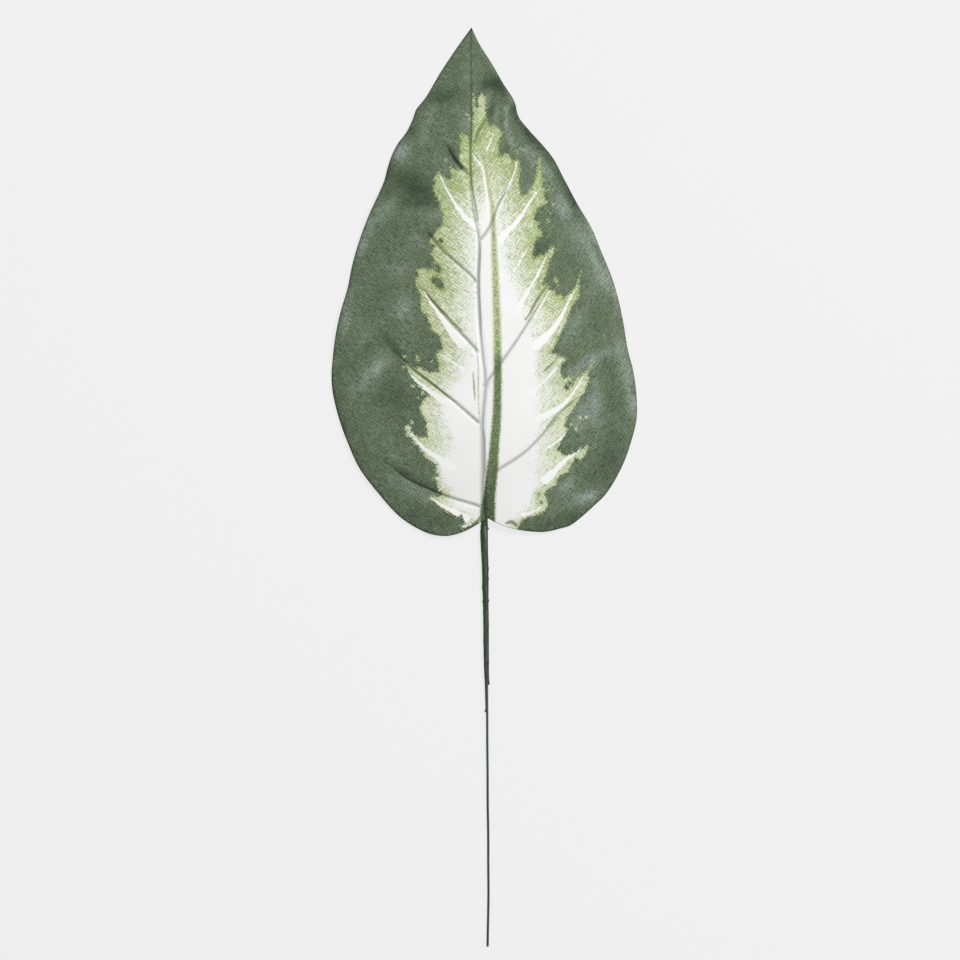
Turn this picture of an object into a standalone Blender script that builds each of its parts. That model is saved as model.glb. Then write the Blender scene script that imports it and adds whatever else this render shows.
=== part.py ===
"""Artificial dieffenbachia leaf: a printed cloth blade on a moulded petiole and a steel wire stem.

The leaf lies face up on a surface. X runs across the blade, Y from the wire's cut end to the leaf's tip,
and Z up from the surface. The origin is on the surface, under the middle of the part. Sizes are in metres.
"""

import math

import bmesh
import bpy
import numpy as np
from mathutils.geometry import delaunay_2d_cdt

# Driving dimensions
CLOTH_THICKNESS = 0.0006
WIRE_RADIUS = 0.00078
SEAT_GAP = 0.0003
BORE_CLEARANCE = 0.00015

# The blade's outline, from the tip down the right side to the notch at the petiole
RIGHT_EDGE = [
    (-0.0082, 0.3000), (-0.0029, 0.2889), (0.0049, 0.2765), (0.0127, 0.2628), (0.0183, 0.2543),
    (0.0206, 0.2491), (0.0215, 0.2445), (0.0238, 0.2393), (0.0304, 0.2315), (0.0441, 0.2158),
    (0.0526, 0.2001), (0.0610, 0.1844), (0.0702, 0.1688), (0.0767, 0.1531), (0.0832, 0.1374),
    (0.0878, 0.1218), (0.0911, 0.1061), (0.0937, 0.0904), (0.0976, 0.0748), (0.0996, 0.0591),
    (0.0996, 0.0447), (0.0963, 0.0304), (0.0904, 0.0140), (0.0813, -0.0023), (0.0728, -0.0114),
    (0.0584, -0.0238), (0.0499, -0.0271), (0.0382, -0.0294), (0.0232, -0.0282), (0.0153, -0.0262),
    (0.0082, -0.0235), (0.0029, -0.0206),
]
# From the notch round the left side and back to the tip
LEFT_EDGE = [
    (-0.0023, -0.0232), (-0.0101, -0.0277), (-0.0186, -0.0310), (-0.0277, -0.0320), (-0.0395, -0.0291),
    (-0.0552, -0.0193), (-0.0695, -0.0036), (-0.0813, 0.0121), (-0.0885, 0.0277), (-0.0943, 0.0434),
    (-0.0983, 0.0591), (-0.0996, 0.0708), (-0.0989, 0.0826), (-0.0970, 0.0983), (-0.0937, 0.1139),
    (-0.0891, 0.1296), (-0.0859, 0.1453), (-0.0813, 0.1609), (-0.0754, 0.1766), (-0.0682, 0.1923),
    (-0.0650, 0.2001), (-0.0630, 0.2079), (-0.0604, 0.2158), (-0.0565, 0.2236), (-0.0506, 0.2315),
    (-0.0467, 0.2393), (-0.0441, 0.2465), (-0.0375, 0.2550), (-0.0284, 0.2706), (-0.0180, 0.2863),
    (-0.0082, 0.3000),
]

# The pressed midrib, from the notch to the tip: its line, then its depth and half-width at both ends
MIDRIB = [
    (0.0003, -0.0219), (-0.0008, -0.0121), (-0.0009, 0.0147), (-0.0009, 0.0408), (0.0008, 0.0676),
    (-0.0010, 0.0865), (-0.0030, 0.1074), (-0.0041, 0.1342), (-0.0034, 0.1603), (-0.0069, 0.1779),
    (-0.0089, 0.1936), (-0.0092, 0.2040), (-0.0085, 0.2321), (-0.0084, 0.2804),
]
MIDRIB_DEPTH = (0.0011, 0.0004)
MIDRIB_HALF_WIDTH = (0.0024, 0.0010)

# The pressed side veins, each from near the midrib out into the green
SIDE_VEINS = [
    [(-0.0026, -0.0132), (-0.0063, -0.0117), (-0.0188, -0.0080), (-0.0286, -0.0045), (-0.0495, 0.0051),
     (-0.0645, 0.0165)],
    [(-0.0034, 0.0416), (-0.0053, 0.0431), (-0.0216, 0.0573), (-0.0431, 0.0738), (-0.0632, 0.0930)],
    [(-0.0047, 0.0880), (-0.0076, 0.0919), (-0.0203, 0.1057), (-0.0326, 0.1195), (-0.0430, 0.1340)],
    [(-0.0056, 0.1340), (-0.0083, 0.1371), (-0.0274, 0.1541), (-0.0390, 0.1679)],
    [(-0.0096, 0.2030), (-0.0131, 0.2066), (-0.0186, 0.2127), (-0.0253, 0.2241)],
    [(0.0040, 0.0067), (0.0088, 0.0108), (0.0264, 0.0225), (0.0428, 0.0395), (0.0545, 0.0532)],
    [(-0.0002, 0.0660), (0.0033, 0.0705), (0.0121, 0.0826), (0.0212, 0.0956), (0.0304, 0.1100),
     (0.0395, 0.1250)],
    [(-0.0032, 0.1607), (0.0010, 0.1656), (0.0049, 0.1727), (0.0088, 0.1831), (0.0134, 0.1910),
     (0.0173, 0.1982)],
]
SIDE_VEIN_DEPTH = 0.0005
SIDE_VEIN_HALF_WIDTH = 0.0015

# The blade's height: an arch along Y, falling across X to the margins, with broad swells in the cloth.
# Each swell is (x, y, rise, reach along, reach across, turn from +X in degrees).
ARCH_RISE = 0.0090
ARCH_FOOT = -0.080
ARCH_SPAN = 0.380
WIDEST_Y = 0.075
HALF_WIDTH = 0.100
BASE_REACH = 0.118
TIP_REACH = 0.232
TIP_POWER = 1.6
BASE_LIMIT = 0.95
TIP_LIMIT = 0.97
SWELLS = [
    (-0.073, 0.173, 0.0026, 0.026, 0.013, 65),
    (-0.051, 0.161, 0.0013, 0.020, 0.014, 40),
    (-0.097, 0.106, 0.0022, 0.022, 0.011, 80),
    (-0.078, 0.072, 0.0018, 0.028, 0.010, 50),
    (-0.070, 0.018, 0.0024, 0.026, 0.013, 125),
    (-0.030, -0.020, 0.0012, 0.020, 0.012, 0),
    (-0.045, 0.232, 0.0020, 0.024, 0.011, 60),
    (0.056, 0.196, 0.0032, 0.052, 0.010, -60),
    (0.021, 0.250, 0.0022, 0.026, 0.008, -62),
    (0.084, 0.120, 0.0022, 0.024, 0.014, 100),
    (0.072, 0.086, 0.0014, 0.022, 0.009, 10),
    (0.084, 0.014, 0.0026, 0.026, 0.013, 60),
    (0.040, -0.022, 0.0014, 0.022, 0.011, 0),
]

# The petiole's cross-sections, from its upper end behind the blade to its lower end on the wire:
# behind the blade (y, width, height), where it hugs the midrib's underside, and below the blade
# (y, left, right, height), where it lies flat. The last five sections are the two tails beside the wire.
RIB_SIZES = [
    (0.185, 0.0014, 0.0010),
    (0.107, 0.0026, 0.0018),
    (0.015, 0.0040, 0.0027),
    (-0.024, 0.0043, 0.0029),
]
RIB_STEP = 0.0055
STALK_SECTIONS = [
    (-0.0300, -0.0025, 0.0025, 0.0030),
    (-0.0415, -0.0020, 0.0026, 0.0030),
    (-0.0506, -0.0015, 0.0029, 0.0030),
    (-0.0620, -0.0012, 0.0030, 0.0029),
    (-0.0741, -0.0009, 0.0030, 0.0028),
    (-0.0900, -0.0006, 0.0032, 0.0028),
    (-0.1067, -0.0004, 0.0033, 0.0027),
    (-0.1185, -0.0001, 0.0034, 0.0026),
    (-0.1245, 0.0001, 0.0035, 0.0024),
    (-0.1255, 0.0002, 0.0036, 0.0018),
    (-0.1290, 0.0003, 0.0039, 0.0017),
    (-0.1294, 0.0003, 0.0019, 0.0016),
    (-0.1440, 0.0006, 0.0019, 0.0016),
    (-0.1463, 0.0002, 0.0019, 0.0015),
]
SECTION_SIDES = 16
SECTION_FULLNESS = 0.62
CUTTER_OVERRUN = 0.010

# The wire's centre line, from its upper end inside the petiole to its cut end on the surface
WIRE_PATH = [
    (0.0000, -0.0100, 0.00150), (0.0000, -0.0300, 0.00150), (0.0002, -0.0440, 0.00150),
    (0.0007, -0.0620, 0.00147), (0.0010, -0.0780, 0.00144), (0.0013, -0.0980, 0.00138),
    (0.0017, -0.1185, 0.00130), (0.0020, -0.1330, 0.00112), (0.0021, -0.1525, 0.00092),
    (0.0022, -0.1700, 0.00080), (0.0024, -0.2000, WIRE_RADIUS), (0.0028, -0.2400, WIRE_RADIUS),
    (0.0028, -0.2750, WIRE_RADIUS), (0.0023, -0.3000, WIRE_RADIUS),
]
WIRE_STEP = 0.006

# The curves and the blade's mesh
CUTS_PER_SPAN = 16
WELD_WITHIN = 1e-6
MERGE_WITHIN = 1e-5
LATTICE_PITCH = 0.0060
EDGE_PITCH = 0.0050
VEIN_PITCH = 0.0050
GROOVE_SIDE = 0.0026
CLEAR_OF_MIDRIB = 0.0052
CLEAR_OF_VEIN = 0.0030
CLEAR_OF_EDGE = 0.0028

CLOTH_GREEN = (0.062, 0.095, 0.058, 1)
PLASTIC_GREEN = (0.050, 0.085, 0.048, 1)
LACQUER_GREEN = (0.075, 0.105, 0.100, 1)


def smooth_line(points, step):
    """A Catmull-Rom curve through the points, cut into nearly equal lengths of about step."""
    points = np.array(points, float)
    padded = np.vstack([2 * points[0] - points[1], points, 2 * points[-1] - points[-2]])
    fine = [points[:1]]
    t = np.linspace(0, 1, CUTS_PER_SPAN + 1)[1:, None]
    for a, b, c, d in zip(padded, padded[1:], padded[2:], padded[3:]):
        bend = (2 * a - 5 * b + 4 * c - d) * t**2 + (3 * b - a - 3 * c + d) * t**3
        fine.append(0.5 * (2 * b + (c - a) * t + bend))
    fine = np.vstack(fine)
    run = np.concatenate([[0], np.cumsum(np.linalg.norm(np.diff(fine, axis=0), axis=1))])
    stops = np.linspace(0, run[-1], max(2, round(run[-1] / step) + 1))
    return np.column_stack([np.interp(stops, run, column) for column in fine.T])


def distance_to(line, points):
    """For each point, its distance from the line and how far along the line that is, from 0 to 1."""
    best = np.full(len(points), np.inf)
    share = np.zeros(len(points))
    lengths = np.linalg.norm(np.diff(line, axis=0), axis=1)
    starts = np.concatenate([[0], np.cumsum(lengths)])
    for a, b, start, length in zip(line, line[1:], starts, lengths):
        t = np.clip((points - a) @ (b - a) / length**2, 0, 1)
        away = np.linalg.norm(points - (a + t[:, None] * (b - a)), axis=1)
        nearer = away < best
        best[nearer] = away[nearer]
        share[nearer] = (start + t[nearer] * length) / starts[-1]
    return best, share


def inside(outline, points):
    """True for each point that the closed outline holds."""
    found = np.zeros(len(points), bool)
    for (ax, ay), (bx, by) in zip(outline, np.roll(outline, -1, axis=0)):
        if ay == by:
            continue
        crosses = (points[:, 1] < ay) != (points[:, 1] < by)
        found ^= crosses & (points[:, 0] < ax + (points[:, 1] - ay) * (bx - ax) / (by - ay))
    return found


MIDRIB_LINE = smooth_line(MIDRIB, VEIN_PITCH)
VEIN_LINES = [smooth_line(vein, VEIN_PITCH) for vein in SIDE_VEINS]


def midrib_x(y):
    """Where the midrib is across the blade, at this y."""
    return np.interp(y, MIDRIB_LINE[:, 1], MIDRIB_LINE[:, 0])


def half_width(y):
    """A smooth stand-in for half the blade's width, which the cross-wise fall follows."""
    below = np.clip((WIDEST_Y - y) / BASE_REACH, 0, BASE_LIMIT)
    above = np.clip((y - WIDEST_Y) / TIP_REACH, 0, TIP_LIMIT)
    return HALF_WIDTH * np.sqrt(1 - below**2) * (1 - above**TIP_POWER)


def relief(points):
    """How deep the pressed veins are at each point."""
    away, share = distance_to(MIDRIB_LINE, points)
    depth = np.interp(share, (0, 1), MIDRIB_DEPTH)
    width = np.interp(share, (0, 1), MIDRIB_HALF_WIDTH)
    total = depth * np.exp(-((away / width) ** 2))
    for line in VEIN_LINES:
        away, share = distance_to(line, points)
        fade = np.sqrt(1 - share)
        total = np.maximum(total, SIDE_VEIN_DEPTH * fade * np.exp(-((away / SIDE_VEIN_HALF_WIDTH) ** 2)))
    return total


def underside(points):
    """The blade's underside above the surface at each (x, y). Margins that would sink lie on the surface."""
    x, y = points.T
    arch = ARCH_RISE * np.sin(math.pi * np.clip((y - ARCH_FOOT) / ARCH_SPAN, 0, 1))
    across = (x - midrib_x(y)) / half_width(y)
    height = arch * (1 - across**2)
    for at_x, at_y, rise, along, sideways, turn in SWELLS:
        c, s = math.cos(math.radians(turn)), math.sin(math.radians(turn))
        u = (c * (x - at_x) + s * (y - at_y)) / along
        v = (c * (y - at_y) - s * (x - at_x)) / sideways
        height = height + rise * np.exp(-(u**2) - v**2)
    return np.maximum(height - relief(points), 0)


def named_material(name, colour, roughness, metallic=0.0):
    material = bpy.data.materials.new(name)
    material.use_nodes = True
    shader = material.node_tree.nodes["Principled BSDF"]
    shader.inputs["Base Color"].default_value = colour
    shader.inputs["Roughness"].default_value = roughness
    shader.inputs["Metallic"].default_value = metallic
    return material


def new_collection(name):
    collection = bpy.data.collections.new(name)
    bpy.context.scene.collection.children.link(collection)
    return collection


def placed(name, data, collection, material=None):
    """An object with this mesh or curve, in the collection."""
    obj = bpy.data.objects.new(name, data)
    collection.objects.link(obj)
    if material:
        data.materials.append(material)
    return obj


def blade_points():
    """The blade's points seen from above, and the edges that its triangles must follow."""
    right = smooth_line(RIGHT_EDGE, EDGE_PITCH)
    left = smooth_line(LEFT_EDGE, EDGE_PITCH)
    outline = np.vstack([right, left[:-1]])
    count = len(outline)
    edges = [(i, (i + 1) % count) for i in range(count)]
    groups = [outline]
    along = np.gradient(MIDRIB_LINE, axis=0)
    sideways = np.column_stack([along[:, 1], -along[:, 0]]) / np.linalg.norm(along, axis=1)[:, None]
    grooves = [MIDRIB_LINE[1:-1] + shift * sideways[1:-1] for shift in (-GROOVE_SIDE, 0, GROOVE_SIDE)]
    veins = [line[distance_to(MIDRIB_LINE, line)[0] > CLEAR_OF_VEIN] for line in VEIN_LINES]
    for line in grooves + veins:
        edges += [(count + i, count + i + 1) for i in range(len(line) - 1)]
        count += len(line)
        groups.append(line)
    low, high = outline.min(axis=0), outline.max(axis=0)
    row_height = LATTICE_PITCH * math.sqrt(3) / 2
    rows = np.arange(low[1], high[1], row_height)
    lattice = np.array([
        (x + (i % 2) * LATTICE_PITCH / 2, y)
        for i, y in enumerate(rows)
        for x in np.arange(low[0], high[0], LATTICE_PITCH)
    ])
    keep = inside(outline, lattice)
    keep &= distance_to(np.vstack([outline, outline[:1]]), lattice)[0] > CLEAR_OF_EDGE
    keep &= distance_to(MIDRIB_LINE, lattice)[0] > CLEAR_OF_MIDRIB
    for line in VEIN_LINES:
        keep &= distance_to(line, lattice)[0] > CLEAR_OF_VEIN
    groups.append(lattice[keep])
    return np.vstack(groups), edges, list(range(len(outline)))


def make_blade(collection):
    """The cloth: one waved sheet of triangles, thickened downwards so that both faces split alike."""
    points, edges, outline = blade_points()
    flat = [tuple(point) for point in points]
    inside_constraints = 1
    flat, _, faces, *_ = delaunay_2d_cdt(flat, edges, [outline], inside_constraints, MERGE_WITHIN)
    flat = np.array([tuple(point) for point in flat])
    heights = underside(flat) + CLOTH_THICKNESS
    mesh = bpy.data.meshes.new("leaf_blade")
    mesh.from_pydata(np.column_stack([flat, heights]).tolist(), [], [list(face) for face in faces])
    bm = bmesh.new()
    bm.from_mesh(mesh)
    for face in bm.faces:
        if face.normal.z < 0:
            face.normal_flip()
    bm.to_mesh(mesh)
    bm.free()
    mesh.shade_smooth()
    blade = placed("leaf_blade", mesh, collection, named_material("printed_cloth", CLOTH_GREEN, 0.7))
    thicken = blade.modifiers.new("cloth_thickness", "SOLIDIFY")
    thicken.thickness = CLOTH_THICKNESS
    thicken.offset = -1
    return blade


def petiole_sections():
    """Each cross-section as (y, left, right, bottom, top)."""
    sections = []
    sizes = np.array(sorted(RIB_SIZES))
    for y in np.arange(RIB_SIZES[0][0], RIB_SIZES[-1][0], -RIB_STEP):
        width, height = (np.interp(y, sizes[:, 0], sizes[:, i]) for i in (1, 2))
        x = float(midrib_x(y))
        top = float(underside(np.array([(x, y)]))[0]) - SEAT_GAP
        sections.append((y, x - width / 2, x + width / 2, max(top - height, 0), top))
    sections += [(y, left, right, 0.0, height) for y, left, right, height in STALK_SECTIONS]
    return sections


def make_bore_cutter(collection):
    """The wire's own line made wider, from just past the wire's upper end to below the petiole."""
    last = STALK_SECTIONS[-1][0] - CUTTER_OVERRUN
    points = [point for point in smooth_line(WIRE_PATH, WIRE_STEP) if point[1] > last]
    points[0] = points[0] + (0, SEAT_GAP, 0)
    curve = wire_curve("bore_line", points, WIRE_RADIUS + BORE_CLEARANCE)
    guide = placed("bore_line", curve, collection)
    graph = bpy.context.evaluated_depsgraph_get()
    mesh = bpy.data.meshes.new_from_object(guide.evaluated_get(graph))
    bm = bmesh.new()
    bm.from_mesh(mesh)
    bmesh.ops.remove_doubles(bm, verts=bm.verts, dist=WELD_WITHIN)
    bm.to_mesh(mesh)
    bm.free()
    cutter = placed("bore_cutter", mesh, collection)
    cutter.hide_render = True
    cutter.display_type = "WIRE"
    bpy.data.objects.remove(guide)
    return cutter


def make_petiole(collection, cutters):
    """The moulded petiole: a lofted bar with a flat back, bored for the wire from below."""
    bm = bmesh.new()
    rings = []
    for y, left, right, bottom, top in petiole_sections():
        ring = []
        for i in range(SECTION_SIDES):
            angle = 2 * math.pi * (i + 0.5) / SECTION_SIDES
            x = (left + right) / 2 + (right - left) / 2 * math.cos(angle)
            z = bottom + (top - bottom) * (0.5 + SECTION_FULLNESS * math.sin(angle))
            ring.append(bm.verts.new((x, y, min(max(z, bottom), top))))
        rings.append(ring)
    for upper, lower in zip(rings, rings[1:]):
        for i in range(SECTION_SIDES):
            j = (i + 1) % SECTION_SIDES
            bm.faces.new((upper[i], upper[j], lower[j], lower[i]))
    bm.faces.new(rings[0])
    bm.faces.new(rings[-1])
    bmesh.ops.recalc_face_normals(bm, faces=bm.faces)
    mesh = bpy.data.meshes.new("petiole")
    bm.to_mesh(mesh)
    bm.free()
    mesh.shade_smooth()
    mesh.set_sharp_from_angle(angle=math.radians(50))
    petiole = placed("petiole", mesh, collection, named_material("petiole_plastic", PLASTIC_GREEN, 0.4))
    bore = petiole.modifiers.new("wire_bore", "BOOLEAN")
    bore.operation = "DIFFERENCE"
    bore.solver = "EXACT"
    bore.object = make_bore_cutter(cutters)
    return petiole


def wire_curve(name, points, radius):
    """A round wire along the points."""
    curve = bpy.data.curves.new(name, "CURVE")
    curve.dimensions = "3D"
    curve.twist_mode = "Z_UP"
    curve.bevel_depth = radius
    curve.bevel_resolution = 2
    curve.use_fill_caps = True
    spline = curve.splines.new("POLY")
    spline.points.add(len(points) - 1)
    for target, point in zip(spline.points, points):
        target.co = (*point, 1)
    return curve


def make_wire(collection):
    curve = wire_curve("stem_wire", smooth_line(WIRE_PATH, WIRE_STEP), WIRE_RADIUS)
    return placed("stem_wire", curve, collection, named_material("lacquered_steel", LACQUER_GREEN, 0.35))


def main():
    for obj in list(bpy.data.objects):
        bpy.data.objects.remove(obj)
    parts = new_collection("dieffenbachia_leaf")
    cutters = new_collection("cutters")
    make_blade(parts)
    make_petiole(parts, cutters)
    make_wire(parts)


main()
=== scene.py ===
"""The looks of the artificial dieffenbachia leaf, on its CAD frame.

The blade is one sheet of printed cloth with pressed veins, the petiole is moulded plastic and the stem is
lacquered wire. X runs across the blade, Y towards its tip and Z up from the surface that it lies on.
"""

import math
from collections import namedtuple

import bmesh
import bpy
import numpy as np
from mathutils.geometry import delaunay_2d_cdt
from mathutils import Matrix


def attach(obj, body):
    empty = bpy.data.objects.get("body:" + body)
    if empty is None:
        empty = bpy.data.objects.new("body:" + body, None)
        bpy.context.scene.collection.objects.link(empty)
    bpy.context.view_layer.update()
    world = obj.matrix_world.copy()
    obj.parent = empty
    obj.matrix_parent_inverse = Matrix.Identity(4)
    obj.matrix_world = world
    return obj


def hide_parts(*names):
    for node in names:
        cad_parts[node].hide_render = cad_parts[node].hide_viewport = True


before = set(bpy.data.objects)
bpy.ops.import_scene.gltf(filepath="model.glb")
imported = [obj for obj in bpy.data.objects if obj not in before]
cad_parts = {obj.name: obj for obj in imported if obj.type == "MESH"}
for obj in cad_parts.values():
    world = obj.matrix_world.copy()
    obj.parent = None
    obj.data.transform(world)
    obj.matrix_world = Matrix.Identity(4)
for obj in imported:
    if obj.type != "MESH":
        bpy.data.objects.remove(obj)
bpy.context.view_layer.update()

MM = 0.001

# The blade's outline, in metres, from the tip down the right side to the notch at the petiole
RIGHT_EDGE = [
    (-0.0082, 0.3000), (-0.0029, 0.2889), (0.0049, 0.2765), (0.0127, 0.2628), (0.0183, 0.2543),
    (0.0206, 0.2491), (0.0215, 0.2445), (0.0238, 0.2393), (0.0304, 0.2315), (0.0441, 0.2158),
    (0.0526, 0.2001), (0.0610, 0.1844), (0.0702, 0.1688), (0.0767, 0.1531), (0.0832, 0.1374),
    (0.0878, 0.1218), (0.0911, 0.1061), (0.0937, 0.0904), (0.0976, 0.0748), (0.0996, 0.0591),
    (0.0996, 0.0447), (0.0963, 0.0304), (0.0904, 0.0140), (0.0813, -0.0023), (0.0728, -0.0114),
    (0.0584, -0.0238), (0.0499, -0.0271), (0.0382, -0.0294), (0.0232, -0.0282), (0.0153, -0.0262),
    (0.0082, -0.0235), (0.0029, -0.0206),
]
# From the notch round the left side and back to the tip
LEFT_EDGE = [
    (-0.0023, -0.0232), (-0.0101, -0.0277), (-0.0186, -0.0310), (-0.0277, -0.0320), (-0.0395, -0.0291),
    (-0.0552, -0.0193), (-0.0695, -0.0036), (-0.0813, 0.0121), (-0.0885, 0.0277), (-0.0943, 0.0434),
    (-0.0983, 0.0591), (-0.0996, 0.0708), (-0.0989, 0.0826), (-0.0970, 0.0983), (-0.0937, 0.1139),
    (-0.0891, 0.1296), (-0.0859, 0.1453), (-0.0813, 0.1609), (-0.0754, 0.1766), (-0.0682, 0.1923),
    (-0.0650, 0.2001), (-0.0630, 0.2079), (-0.0604, 0.2158), (-0.0565, 0.2236), (-0.0506, 0.2315),
    (-0.0467, 0.2393), (-0.0441, 0.2465), (-0.0375, 0.2550), (-0.0284, 0.2706), (-0.0180, 0.2863),
    (-0.0082, 0.3000),
]

# The pressed veins, in metres: the midrib from the notch to the tip, then the side veins going outwards
MIDRIB = [
    (0.0003, -0.0219), (-0.0008, -0.0121), (-0.0009, 0.0147), (-0.0009, 0.0408), (0.0008, 0.0676),
    (-0.0010, 0.0865), (-0.0030, 0.1074), (-0.0041, 0.1342), (-0.0034, 0.1603), (-0.0069, 0.1779),
    (-0.0089, 0.1936), (-0.0092, 0.2040), (-0.0085, 0.2321), (-0.0084, 0.2804),
]
SIDE_VEINS = [
    [(-0.0026, -0.0132), (-0.0063, -0.0117), (-0.0188, -0.0080), (-0.0286, -0.0045), (-0.0495, 0.0051),
     (-0.0645, 0.0165)],
    [(-0.0034, 0.0416), (-0.0053, 0.0431), (-0.0216, 0.0573), (-0.0431, 0.0738), (-0.0632, 0.0930)],
    [(-0.0047, 0.0880), (-0.0076, 0.0919), (-0.0203, 0.1057), (-0.0326, 0.1195), (-0.0430, 0.1340)],
    [(-0.0056, 0.1340), (-0.0083, 0.1371), (-0.0274, 0.1541), (-0.0390, 0.1679)],
    [(-0.0096, 0.2030), (-0.0131, 0.2066), (-0.0186, 0.2127), (-0.0253, 0.2241)],
    [(0.0040, 0.0067), (0.0088, 0.0108), (0.0264, 0.0225), (0.0428, 0.0395), (0.0545, 0.0532)],
    [(-0.0002, 0.0660), (0.0033, 0.0705), (0.0121, 0.0826), (0.0212, 0.0956), (0.0304, 0.1100),
     (0.0395, 0.1250)],
    [(-0.0032, 0.1607), (0.0010, 0.1656), (0.0049, 0.1727), (0.0088, 0.1831), (0.0134, 0.1910),
     (0.0173, 0.1982)],
]
# Depth and half-width of the pressed line, at its inner and its outer end
MIDRIB_PRESS = ((0.0011, 0.0007), (0.0012, 0.0010))
SIDE_PRESS = ((0.0012, 0.0009), (0.0010, 0.0006))

# The blade's height: an arch along Y, falling across X to the margins, with broad swells in the cloth.
# Each swell is (x, y, rise, reach along, reach across, turn from +X in degrees).
ARCH_RISE = 0.0090
ARCH_FOOT = -0.080
ARCH_SPAN = 0.380
WIDEST_Y = 0.075
HALF_WIDTH = 0.100
BASE_REACH = 0.118
TIP_REACH = 0.232
TIP_POWER = 1.6
BASE_LIMIT = 0.95
TIP_LIMIT = 0.97
SWELLS = [
    (-0.073, 0.173, 0.0026, 0.026, 0.013, 65),
    (-0.051, 0.161, 0.0013, 0.020, 0.014, 40),
    (-0.097, 0.106, 0.0022, 0.022, 0.011, 80),
    (-0.078, 0.072, 0.0018, 0.028, 0.010, 50),
    (-0.070, 0.018, 0.0024, 0.026, 0.013, 125),
    (-0.030, -0.020, 0.0012, 0.020, 0.012, 0),
    (-0.045, 0.232, 0.0020, 0.024, 0.011, 60),
    (0.056, 0.196, 0.0032, 0.052, 0.010, -60),
    (0.021, 0.250, 0.0022, 0.026, 0.008, -62),
    (0.084, 0.120, 0.0022, 0.024, 0.014, 100),
    (0.072, 0.086, 0.0014, 0.022, 0.009, 10),
    (0.084, 0.014, 0.0026, 0.026, 0.013, 60),
    (0.040, -0.022, 0.0014, 0.022, 0.011, 0),
]
# Narrow folds and ridges of the same form, which only the looks have
FOLDS = [
    (-0.058, 0.100, -0.0004, 0.012, 0.0022, -48),
    (-0.036, 0.158, -0.0003, 0.008, 0.0018, -45),
    (-0.060, 0.126, 0.0003, 0.014, 0.0030, -42),
    (-0.050, 0.143, 0.0003, 0.012, 0.0030, -40),
    (-0.022, 0.216, -0.0003, 0.010, 0.0016, -50),
    (-0.014, 0.234, -0.0002, 0.016, 0.0014, 75),
    (0.004, 0.243, 0.0004, 0.012, 0.0018, 75),
    (0.018, 0.243, 0.0005, 0.018, 0.0022, -80),
    (0.044, 0.206, -0.0003, 0.004, 0.0008, -60),
    (0.056, 0.171, -0.0003, 0.006, 0.0010, -25),
    (0.080, 0.086, 0.0007, 0.014, 0.0022, 8),
    (0.070, 0.078, 0.0004, 0.012, 0.0022, 40),
    (0.092, 0.070, 0.0005, 0.026, 0.0040, -77),
    (0.067, -0.007, 0.0008, 0.014, 0.0050, 25),
]

# Where painted shade spreads grey beside a pressed vein, in the same form
GROOVE_SHADE_SPOTS = [(0.0018, 0.0668, 0.55, 0.0040, 0.0016, 60)]

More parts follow.
